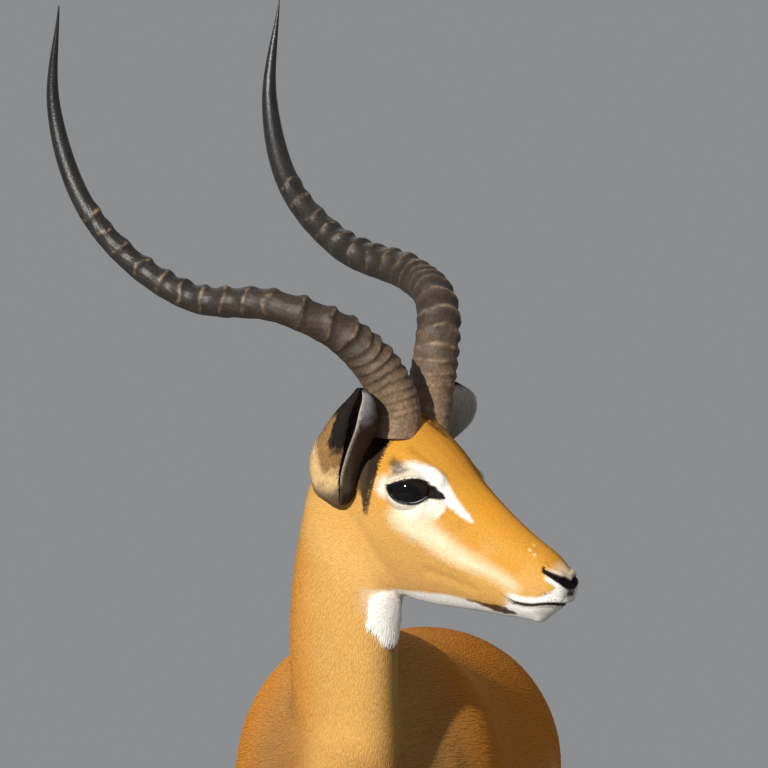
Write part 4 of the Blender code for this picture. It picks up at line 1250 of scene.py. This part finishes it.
def region_names(points):
    """The name of the coat piece that each root belongs to."""
    y = points[:, 1]
    names = np.where(y < -0.13, "chest", np.where(y < 0.13, "barrel", "rump"))
    names = np.where(leg_share(points) > 0.5, np.where(y < 0, "foreleg", "hindleg"), names)
    names = np.char.add(names, np.where(points[:, 0] > 0, "_L", "_R"))
    letter = np.where(level_places(points)[:, 1] > 0, "_L", "_R")
    names = np.where(neck_share(points) > 0.5, np.char.add("neck", letter), names)
    front = np.where(head_places(points)[:, 0] > 95, "muzzle", "head")
    return np.where(head_share(points) > 0.5, np.char.add(front, letter), names)


def grow_coat(skin):
    """Covers the skin with short tufts that lie along it."""
    mesh = skin.data
    points, normals, triangles, edges = points_of(mesh), normals_of(mesh), triangles_of(mesh), edges_of(mesh)
    rest = rest_of(mesh)
    way = lie_of(points)
    way = unit(way - normals * (way * normals).sum(axis=1)[:, None])
    bend = curvature_along(points, normals, edges, way)
    length, width, lift, layers = hair_sizes(points)
    places = mirrored(head_places(rest))
    bare = (eye_off(points)[0] < 1.2) | (nostril_gap(places)[0] < 0.3)
    bare |= (np.abs(mouth_gap(places)[0]) < 1.1) & (places[:, 0] > 184)
    bare |= points[:, 2] < 0.030
    index, shares = scattered(triangles, points, layers / (length * width) * ~bare)

    def read(values):
        return (values[index] * (shares if values.ndim == 1 else shares[:, :, None])).sum(axis=1)

    root, normal = read(points), unit(read(normals))
    heading = read(way) + 0.07 * rng.standard_normal((len(root), 3))
    heading = unit(heading - normal * (heading * normal).sum(axis=1)[:, None])
    size = read(length) * rng.uniform(0.72, 1.25, len(root))
    wide = read(width) * rng.uniform(0.75, 1.2, len(root))
    rise = read(lift) * rng.uniform(0.55, 1.35, len(root))
    origin = read(rest)
    shade, tint = rng.normal(1, 0.035, (len(root), 1)), rng.normal(1, 0.012, (len(root), 3))
    colour = coat_colours(origin) * shade * tint
    tufts = (root, normal, heading, size, wide, rise, read(bend), colour)
    names = region_names(origin)
    for name in sorted(set(names.tolist())):
        pick = names == name
        slot = "face" if name.startswith(("head", "muzzle")) else "coat"
        coat_piece("coat_" + name, slot, *(values[pick] for values in tufts), chart_of(name, origin[pick]))


TAIL_LOCKS = 5200


def grow_tail():
    """Long white locks round the tail's core, black along the middle of its outer side."""
    line = along(TAIL_SECTIONS, 0.002)
    at = rng.uniform(0.10, 0.90, TAIL_LOCKS) ** 0.92 * (len(line) - 1)
    index = at.astype(int)
    turn = rng.uniform(0, 2 * math.pi, TAIL_LOCKS)
    radius = np.maximum(line[index, 3] * TAIL_CORE, 0.004)
    tangent = unit(np.gradient(line[:, :3], axis=0))[index]
    across = np.tile(SIDEWAYS, (TAIL_LOCKS, 1))
    normal = across * np.cos(turn)[:, None] + np.cross(tangent, across) * np.sin(turn)[:, None]
    root = line[index, :3] + normal * radius[:, None] * 0.9
    way = unit(tangent + 0.10 * rng.standard_normal((TAIL_LOCKS, 3)))
    way = unit(way - normal * (way * normal).sum(axis=1)[:, None])
    place = at / (len(line) - 1)
    length = np.interp(place, (0, 0.25, 0.6, 0.9), (0.014, 0.024, 0.040, 0.036))
    length = np.minimum(length * rng.uniform(0.7, 1.15, TAIL_LOCKS), (root[:, 2] - 0.540) * 0.98)
    width = rng.uniform(0.0016, 0.0028, TAIL_LOCKS)
    lift = np.interp(place, (0, 0.5, 1), (8, 14, 6)) * rng.uniform(0.4, 1.3, TAIL_LOCKS)
    colour = tail_colours(root) * rng.normal(1, 0.05, (TAIL_LOCKS, 1))
    chart = np.stack((0.02 + 0.96 * turn / (2 * math.pi), 0.02 + 0.96 * place), axis=1)
    keep = length > 0.004
    tufts = (root, normal, way, length, width, lift, np.zeros(TAIL_LOCKS), colour, chart)
    coat_piece("coat_tail", "pale_coat", *(values[keep] for values in tufts))


def inner_ear_colours(points, side):
    """Inside the ear: dark grey as painted shade in its depth, with dark lines; white hair on the open ear's
    outer wall.
    """
    up, _, _, toward = ear_places(points, side)
    return layered(
        # dark grey: painted shade in the depth of the ear
        GREY * 0.5,
        (DARK * 1.5, 0.6 * rising(0.2, 0.6, noise(points, 0.008, 81))),
        (WHITE * 1.05, (side > 0) * rising(8, 11, toward)),
        (BLACK * 1.5, rising(19, 25, up)),
    )


EAR_TUFTS = (9000, 6136)  # on the outer face and on the inner one


def grow_ear(side, letter, grid):
    """Short hair up the back of the ear, and longer hair inside it, white where the sun reaches and dark grey
    with painted shade elsewhere.
    """
    parts = []
    for sheet, facing, count in ((grid[:, :EAR_COUNT], 1, EAR_TUFTS[0]),
                                 (grid[:, :EAR_COUNT - 1:-1], -1, EAR_TUFTS[1])):
        up = unit(np.gradient(sheet, axis=0))
        normal = unit(np.cross(up, unit(np.gradient(sheet, axis=1)))) * side * facing
        inward = ((sheet - sheet.mean(axis=1, keepdims=True)) * normal).sum(axis=2).mean() * facing < 0
        normal = -normal if inward else normal
        i = rng.uniform(0.5, EAR_ROWS - 1.6, count)
        j = rng.uniform(0.2, EAR_COUNT - 1.2, count)
        row, column = i.astype(int), j.astype(int)
        u, v = (i - row)[:, None], (j - column)[:, None]

        def read(values):
            low = values[row, column] * (1 - v) + values[row, column + 1] * v
            high = values[row + 1, column] * (1 - v) + values[row + 1, column + 1] * v
            return low * (1 - u) + high * u

        root, out = read(sheet), unit(read(normal))
        way = unit(read(up)) + 0.16 * rng.standard_normal((count, 3))
        length = rng.uniform(0.0034, 0.0056, count) * (1.6 if facing < 0 < side else 0.9)
        length *= np.clip((EAR_ROWS - 1 - i) / 8, 0.35, 1)
        colour = (ear_colours if facing > 0 else inner_ear_colours)(root, side)
        way = unit(way - out * (way * out).sum(axis=1)[:, None])
        across = 0.5 * (facing > 0) + 0.02 + 0.46 * (j / (EAR_COUNT - 1))
        chart = np.stack((across, 0.02 + 0.96 * i / EAR_ROWS), axis=1)
        lift = rng.uniform(5, 13, count)
        parts.append((root, out, way, length, rng.uniform(0.0008, 0.0013, count), lift,
                      np.full(count, 8.0 * facing), colour * rng.normal(1, 0.06, (count, 1)), chart))
    coat_piece("coat_ear_" + letter, "coat", *(np.concatenate(values) for values in zip(*parts)))


# ---- materials ----
class Look:
    """A material being made. Its methods add nodes to it, and most give back the socket that comes out."""

    def __init__(self, name, roughness, specular):
        self.material = bpy.data.materials.new(name)
        self.material.use_nodes = True
        self.tree = self.material.node_tree
        self.shader = self.tree.nodes["Principled BSDF"].inputs
        self.shader["Roughness"].default_value = roughness
        self.shader["Specular IOR Level"].default_value = specular

    def node(self, kind, **values):
        made = self.tree.nodes.new("ShaderNode" + kind)
        for key, value in values.items():
            made.inputs[key].default_value = value
        return made

    def attribute(self, name, output="Fac"):
        made = self.node("Attribute")
        made.attribute_name = name
        return made.outputs[output]

    def mix(self, kind, factor, a, b):
        """A colour mix; each of factor, a and b is a socket or a value. Inputs 0, 6 and 7 of the node are
        these three where it mixes colours, and output 2 is the mixed colour."""
        made = self.node("Mix")
        made.data_type = "RGBA"
        made.blend_type = kind
        for socket, value in ((made.inputs[0], factor), (made.inputs[6], a), (made.inputs[7], b)):
            if isinstance(value, bpy.types.NodeSocket):
                self.tree.links.new(value, socket)
            else:
                socket.default_value = value if isinstance(value, (int, float)) else (*value, 1)
        return made.outputs[2]

    def ramp(self, source, *stops):
        made = self.node("ValToRGB")
        self.tree.links.new(source, made.inputs[0])
        elements = made.color_ramp.elements
        while len(elements) < len(stops):
            elements.new(0.5)
        for element, (place, value) in zip(elements, stops):
            element.position = place
            element.color = (value, value, value, 1) if isinstance(value, (int, float)) else (*value, 1)
        return made.outputs[0]

    def noise(self, scale, detail, stretch=(1, 1, 1)):
        """Noise in the object's own coordinates, drawn out by stretch."""
        mapping = self.node("Mapping", Scale=stretch)
        self.tree.links.new(self.node("TexCoord").outputs["Object"], mapping.inputs["Vector"])
        made = self.node("TexNoise", Scale=scale, Detail=detail, Roughness=0.55)
        self.tree.links.new(mapping.outputs["Vector"], made.inputs["Vector"])
        return made.outputs["Fac"]

    def grain(self, scale, detail, low, high, stretch=(1, 1, 1)):
        """Noise turned into tones or colours between two stops."""
        return self.ramp(self.noise(scale, detail, stretch), low, high)

    def bump(self, strength, distance, *noise):
        made = self.node("Bump", Strength=strength, Distance=distance)
        self.tree.links.new(self.noise(*noise), made.inputs["Height"])
        self.tree.links.new(made.outputs["Normal"], self.shader["Normal"])

    def coloured(self, *colours):
        """The material, its base colour the product of these."""
        product = colours[0]
        for colour in colours[1:]:
            product = self.mix("MULTIPLY", 1.0, product, colour)
        self.tree.links.new(product, self.shader["Base Color"])
        return self.material


def hair_material():
    look = Look("hair", 0.70, 0.07)
    return look.coloured(look.attribute("Coat", "Color"), look.grain(900, 2, (0.3, 0.90), (0.7, 1.08)))


def skin_material():
    look = Look("skin", 0.72, 0.10)
    look.bump(0.5, 0.0006, 1300, 3, (1.0, 1.0, 0.30))
    return look.coloured(look.attribute("Coat", "Color"), look.grain(260, 4, (0.3, 0.84), (0.7, 1.06)))


def horn_material():
    look = Look("horn", 0.42, 0.45)
    share = look.attribute("Share")
    body = look.ramp(share, (0.0, (0.230, 0.150, 0.090)), (0.07, (0.150, 0.095, 0.057)),
                     (0.18, (0.042, 0.028, 0.019)), (0.50, (0.022, 0.018, 0.015)),
                     (1.0, (0.012, 0.012, 0.014)))
    for grain in ((420, 5, (0.30, 0.55), (0.72, 1.45)), (55, 4, (0.35, 0.70), (0.70, 1.30))):
        body = look.mix("MULTIPLY", 1.0, body, look.grain(*grain))
    # paler along the crests of the rings
    pale_crests = look.mix("MULTIPLY", 1.0, look.attribute("Crest"), look.grain(130, 4, (0.42, 0.04), (0.66, 0.75)))
    gloss = look.ramp(share, (0.0, 0.70), (0.35, 0.50), (0.75, 0.34), (1.0, 0.28))
    look.tree.links.new(gloss, look.shader["Roughness"])
    look.bump(0.55, 0.0007, 700, 5)
    return look.coloured(look.mix("MIX", pale_crests, body, (0.34, 0.24, 0.15)))


def eye_material():
    look = Look("eyeball", 0.06, 0.5)
    look.shader["IOR"].default_value = 1.34
    return look.coloured(look.ramp(look.attribute("Iris"), (0.0, (0.030, 0.020, 0.014)),
                                   (0.35, (0.016, 0.009, 0.006)), (0.60, (0.012, 0.007, 0.005)),
                                   (0.72, (0.003, 0.003, 0.004))))


def lid_material():
    look = Look("lid", 0.42, 0.35)
    look.bump(0.3, 0.0003, 900, 2)
    return look.coloured(look.grain(400, 3, (0.3, (0.006, 0.005, 0.005)), (0.8, (0.018, 0.014, 0.013))))


# the moist line inside the lower lid: its pale bluish colour is a painted reflection
def glint_line_material():
    look = Look("wet_glint_line", 0.12, 0.6)
    return look.coloured(look.grain(500, 2, (0.3, (0.30, 0.28, 0.34)), (0.8, (0.65, 0.62, 0.70))))


def hoof_material():
    look = Look("hoof_wall", 0.40, 0.45)
    look.bump(0.4, 0.0006, 120, 3, (0.4, 0.4, 3.0))
    wear = look.grain(70, 4, (0.35, (0.028, 0.023, 0.020)), (0.70, (0.075, 0.060, 0.048)))
    return look.coloured(wear, look.grain(600, 4, (0.3, 0.70), (0.7, 1.25), (1.0, 1.0, 0.15)))


def floor_material():
    look = Look("floor", 0.85, 0.2)
    return look.coloured(look.grain(3, 2, (0.3, 0.255), (0.7, 0.265)))


# ---- horns, eyes and hooves ----
def horn_radius(side, share):
    places, scales = np.array(HORN_TAPER[side]).T
    fuller = np.interp(share, (0.3, 0.5, 0.75, 0.93, 1), (1, 1.08, 1.22, 1.22, 1))
    return HORN_BASE_RADIUS * blended(scales[:, None], places, share)[:, 0] * fuller


def finished(obj, material, slot, *nodes):
    """Gives a piece its material and its body, smooths its shading, and hides the CAD nodes that it stands
    for; slot is not used.
    """
    obj.data.materials.clear()
    obj.data.materials.append(material)
    obj.data.shade_smooth()
    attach(obj, "root")
    if nodes:
        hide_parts(*nodes)


# distance of each ring from the root of the horn (mm)
RIDGES = {
    1: (24, 35, 47, 58, 70, 84, 101, 120, 140, 164, 185, 205, 225, 246, 268, 292, 315, 341, 364, 388, 414,
        438),
    -1: (25, 32, 40, 49, 60, 71, 82, 94, 106, 121, 143, 172, 203, 225, 249, 274, 300, 323, 350, 379, 403,
         424),
}
HORN_SIDES = 48


def spokes(line, count):
    """Each point of a line, with count directions round it that don't spin as the line bends."""
    tangent = unit(np.gradient(line, axis=0))
    across = unit(np.cross(tangent[0], UP))
    turn = np.linspace(0, 2 * math.pi, count, endpoint=False)
    for middle, axis in zip(line, tangent):
        across = unit(across - axis * (axis @ across))
        yield middle, np.outer(np.cos(turn), across) + np.outer(np.sin(turn), np.cross(axis, across))


def horn(side, letter, material):
    """A lyre-shaped horn with rings over its lower two thirds and a smooth tip. The rings are strongest on
    its front and outer sides, and wander a little round it."""
    line = [level_point(n / 1000, side * l / 1000, u / 1000) for n, l, u in HORN_LINES[side]]
    fine = along([level_point(-0.002, side * 0.026, -0.022)] + line, 0.0012)
    length = lengths_along(fine)
    crests = np.array(RIDGES[side]) / 1000
    ridged = RIDGES[side][-1] / 1000 + 0.01
    heights = np.interp(crests, (0, 0.05, 0.10, 0.30, 0.43), (1.0, 2.0, 3.6, 3.2, 1.4)) / 1000
    heights = heights * rng.uniform(0.8, 1.2, len(crests))
    wide = np.interp(crests, (0.05, 0.12, 0.25), (0.55, 0.85, 1.25))
    front = unit(0.8 * AHEAD + 0.8 * UP + 0.15 * side * LEFT)
    turn = np.linspace(0, 2 * math.pi, HORN_SIDES, endpoint=False)
    rings, crest_mask, shares = [], [], []
    for place, (middle, outward) in zip(length, spokes(fine, HORN_SIDES)):
        strong = np.clip(0.52 + 0.48 * (outward @ front), 0.10, 1)
        wander = 0.0022 * np.sin(turn * 2 + place * 40) + 0.0012 * np.sin(turn * 3 - place * 90 + side)
        gap = (place + wander)[:, None] - crests[None]
        sharp = np.where(gap < 0, 0.0042, 0.0062) * wide
        swell = (np.exp(-((gap / sharp) ** 2)) * heights).sum(axis=1) * strong
        swell = swell - 0.0004 * (place < ridged) * np.cos(turn * 17 + 3 * np.sin(place * 60)) ** 6
        radius = horn_radius(side, np.array([place / length[-1]]))[0]
        rings.append(middle + outward * (radius + swell)[:, None] + SHIFT)
        crest_mask.append(np.exp(-(((gap + 0.0006) / 0.0016) ** 2)).max(axis=1) * strong)
        shares.append(np.full(HORN_SIDES, place / length[-1]))
    made = loft("horn_shell_" + letter, rings)
    store(made.data, "Crest", np.concatenate(crest_mask + [[0.0, 0.0]]))
    store(made.data, "Share", np.concatenate(shares + [[0.0, 1.0]]))
    finished(made, material, "horn", "horn_" + letter)


def eyeball(side, letter, material):
    centre, outward, forward, up = eye_axes(side)
    bm = bmesh.new()
    bmesh.ops.create_uvsphere(bm, u_segments=64, v_segments=48, radius=1)
    turned = np.array([v.co for v in bm.verts])
    directions = (np.outer(turned[:, 2], outward) + np.outer(turned[:, 0], forward)
                  + np.outer(turned[:, 1], up))
    bulge = 0.0007 * rising(0.70, 0.90, turned[:, 2])
    for vert, place in zip(bm.verts, centre + directions * (EYEBALL + bulge - 0.0002)[:, None] + SHIFT):
        vert.co = place
    bmesh.ops.recalc_face_normals(bm, faces=bm.faces)
    made = object_of("eyeball_" + letter, bm)
    pupil = np.hypot(turned[:, 0] / 0.50, turned[:, 1] / 0.30)
    store(made.data, "Iris", np.where(turned[:, 2] > 0, np.clip(1 - (pupil - 0.6) * 0.45, 0, 1), 0))
    finished(made, material, "eye", "eye_" + letter)


def lid_edge(side, upper, raise_by, grow):
    """Points along a lid's edge, raise_by metres over the eyeball and grown by some degrees."""
    turn = np.linspace(EYE_REAR, EYE_FRONT, 40)
    tilt = lid_height(turn, upper) + (grow if upper else -grow)
    return eye_axes(side)[0] + eye_ways(side, turn, tilt) * (EYEBALL + raise_by)


def tube(name, line, radii, sides=10):
    """A closed tube along a line."""
    return loft(name, [middle + radius * round_it + SHIFT
                       for radius, (middle, round_it) in zip(radii, spokes(line, sides))])


LASHES = 90


def eyelids(side, letter, material, glint):
    """Black moist rims round the opening, a moist line inside the lower one painted pale as a painted
    reflection, and short lashes above.
    """
    rims = []
    for upper, thick in ((True, 0.0014), (False, 0.0011)):
        line = lid_edge(side, upper, 0.0006, 1.5)
        taper = np.interp(np.linspace(0, 1, len(line)), (0, 0.1, 0.9, 1), (0.6, 1, 1, 0.8))
        rims.append(tube("rim", line, thick * taper))
    finished(joined("lid_rim_" + letter, rims), material, "eye")
    line = lid_edge(side, False, 0.0001, -2.6)[6:-4]
    taper = np.interp(np.linspace(0, 1, len(line)), (0, 0.2, 0.8, 1), (0.1, 1, 1, 0.1))
    # the moist line inside the lower lid, painted pale as a painted reflection
    finished(tube("wet_glint_line_" + letter, line, taper * 0.00042, 6), glint, "eye")
    centre, _, forward, up = eye_axes(side)
    turn = rng.uniform(-52, 58, LASHES)
    normal = eye_ways(side, turn, lid_height(turn, True) + rng.uniform(0.5, 3.0, LASHES))
    stray = 0.15 * rng.standard_normal((LASHES, 3))
    way = unit(0.8 * normal + 0.25 * forward - 0.10 * up + stray)
    facing = np.cross(unit(np.cross(way, normal)), way)
    chart = np.stack((np.interp(turn, (-60, 60), (0.02, 0.98)), rng.uniform(0.1, 0.9, LASHES)), axis=1)
    coat_piece("coat_lashes_" + letter, "face", centre + normal * (EYEBALL + LID), facing, way,
               rng.uniform(0.0035, 0.006, LASHES), np.full(LASHES, 0.0005), np.full(LASHES, 4.0),
               np.full(LASHES, 30.0), np.tile(BLACK, (LASHES, 1)), chart)


HOOF_LENGTH, HOOF_WIDTH, HOOF_SPLIT = 0.060, 0.0215, 0.0034
CORONET_FRONT, CORONET_BACK = 0.040, 0.026
HOOF_LEAN = 0.012


def hoof_outline(length, width, count):
    """Half of a cloven hoof from above: straight along the cleft, bowed outside, pointed at the toe."""
    outline = [(0.0, (0.5 - t) * length) for t in np.linspace(0, 1, count // 2 + 1)]
    for t in np.linspace(0, 1, count // 2 + 1)[1:-1]:
        bow = math.sin(math.pi * t**1.3) ** 0.62
        outline.append((width * bow, (t - 0.5) * length))
    return np.array(outline)


def foot_place(kind, side):
    rows = FORELEG_SECTIONS if kind == "fore" else HINDLEG_SECTIONS
    x, y, z = rows[-1][:3]
    return np.array((side * x, y + STEPS[kind, side] * (1 - z / rows[0][2]) - 0.004, 0))


def hoof(kind, side, letter, outer, material):
    """One claw with growth rings: flat sole on the floor, its wall leaning back up to the coronet."""
    foot = foot_place(kind, side)
    toward = side if outer else -side
    sole, crown = hoof_outline(HOOF_LENGTH, HOOF_WIDTH, 48), hoof_outline(0.045, 0.0165, 48)
    rings = []
    for share in np.concatenate(([0.0], np.linspace(0.02, 1, 28))):
        flat = sole + (crown - sole) * share ** 1.2
        swell = 1 + 0.012 * math.sin(share * 34) * (share > 0.05) - (0.03 if share == 0 else 0)
        x = foot[0] + toward * (HOOF_SPLIT / 2 + flat[:, 0] * swell)
        back = flat[:, 1] * (0.985 if share == 0 else 1) + HOOF_LEAN * share
        lean = 0.5 - flat[:, 1] / HOOF_LENGTH
        top = CORONET_BACK + (CORONET_FRONT - CORONET_BACK) * np.clip(lean, 0, 1)
        rings.append(np.column_stack((x, foot[1] + back, share * top)) + SHIFT * (1, 1, 0))
    word = "outer" if outer else "inner"
    made = loft(f"claw_{kind}_{letter}_{word}", rings)
    finished(made, material, "hoof", f"hoof_{kind}_{letter}_{word}")


# ---- putting it together ----
SKIN_SHADE = 0.86  # the skin between the tufts lies in their shade
EAR_MATCH = 2e-5  # a point of the skin this near to a point of the ear's grid is that point
EAR_REACH = 0.09


def tree_of(points):
    tree = kdtree.KDTree(len(points))
    for i, place in enumerate(points):
        tree.insert(place, i)
    tree.balance()
    return tree


def dress_skin(skin, ears):
    """Unites the ears with the skin and gives it its markings."""
    rest, before = rest_of(skin.data), points_of(skin.data)
    tree = tree_of(before)
    for grid in ears.values():
        ear = loft("ear", list(grid), folded=True)
        cut = skin.modifiers.new("unite", "BOOLEAN")
        cut.operation = "UNION"
        cut.object = ear
        evaluated(skin)
        bpy.data.objects.remove(ear)
    points = points_of(skin.data)
    nearest = np.array([tree.find(place)[1] for place in points])
    colours = coat_colours(rest[nearest] + points - before[nearest])
    for side, grid in ears.items():
        tree = tree_of(grid.reshape(-1, 3))
        near = np.flatnonzero(sizes(points - grid.mean(axis=(0, 1))) < EAR_REACH)
        found = [(v, *tree.find(points[v])[1:]) for v in near]
        own = np.array([(v, i % (2 * EAR_COUNT)) for v, i, distance in found if distance < EAR_MATCH],
                       int)
        index, column = own.T
        colours[index] = np.where((column < EAR_COUNT)[:, None], ear_colours(points[index], side),
                                  inner_ear_colours(points[index], side))
    set_points(skin.data, points + SHIFT)
    paint(skin.data, colours * SKIN_SHADE)
    nodes = [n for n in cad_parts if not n.startswith(("horn", "eye", "hoof"))]
    skin.name = "skin"
    finished(skin, skin_material(), "coat", *nodes)


hair_material()
skin = skin_surface()
grow_coat(skin)
grow_tail()
ears = {side: ear_grid(side) for side, _ in SIDES}
for side, letter in SIDES:
    grow_ear(side, letter, ears[side])
dress_skin(skin, ears)
keratin, cornea, rim_black = horn_material(), eye_material(), lid_material()
wet_glint, wall = glint_line_material(), hoof_material()
for side, letter in SIDES:
    horn(side, letter, keratin)
    eyeball(side, letter, cornea)
    eyelids(side, letter, rim_black, wet_glint)
    for kind in ("fore", "hind"):
        for outer in (True, False):
            hoof(kind, side, letter, outer, wall)


# ---- stage ----
CAMERA_AZIMUTH, CAMERA_RISE, CAMERA_DISTANCE = 8, 2.5, 9.0
FRAME_WIDTH = 0.768  # what the camera takes in at the distance of the horns
LAMP_TARGET = np.array((0.05, -0.2, 0.95))


def stage():
    bm = bmesh.new()
    bmesh.ops.create_circle(bm, cap_ends=True, cap_tris=True, segments=96, radius=5)
    floor = object_of("floor", bm)
    floor.data.materials.append(floor_material())
    world = bpy.data.worlds.new("studio")
    world.use_nodes = True
    background = world.node_tree.nodes["Background"]
    background.inputs["Color"].default_value = (0.96, 0.98, 1.0, 1)
    background.inputs["Strength"].default_value = 0.27
    bpy.context.scene.world = world
    bpy.context.scene.view_settings.view_transform = "Standard"


def looking(azimuth, elevation):
    """Directions of a view: towards the eye, to its right and up."""
    a, e = math.radians(azimuth), math.radians(elevation)
    back = np.array((math.sin(a) * math.cos(e), -math.cos(a) * math.cos(e), math.sin(e)))
    right = np.array((math.cos(a), math.sin(a), 0))
    return back, right, np.cross(back, right)


def aimed(name, data, middle, distance, back):
    """A lamp or camera that looks at middle from a distance in the direction back."""
    obj = linked(name, data)
    obj.location = middle + distance * back
    obj.rotation_mode = "QUATERNION"
    obj.rotation_quaternion = Vector(back).to_track_quat("Z", "Y")
    return obj


def light(name, azimuth, elevation, distance, size, power, colour):
    lamp = bpy.data.lights.new(name, "AREA")
    lamp.size, lamp.energy, lamp.color = size, power, colour
    aimed(name, lamp, LAMP_TARGET, distance, looking(azimuth, elevation)[0])


def camera():
    back, right, up = looking(CAMERA_AZIMUTH, CAMERA_RISE)
    lens = bpy.data.cameras.new("camera")
    lens.sensor_width = 36
    lens.lens = lens.sensor_width * CAMERA_DISTANCE / FRAME_WIDTH
    lens.clip_end = 200
    target = HORN_BASE + SHIFT - 0.028 * right + 0.028 * up
    bpy.context.scene.camera = aimed("camera", lens, target, CAMERA_DISTANCE, back)


stage()
camera()
light("key", -19, 21, 12.0, 0.20, 2150, (1.0, 0.965, 0.90))
light("rear", 200, 30, 8.0, 4.0, 60, (0.94, 0.97, 1.0))
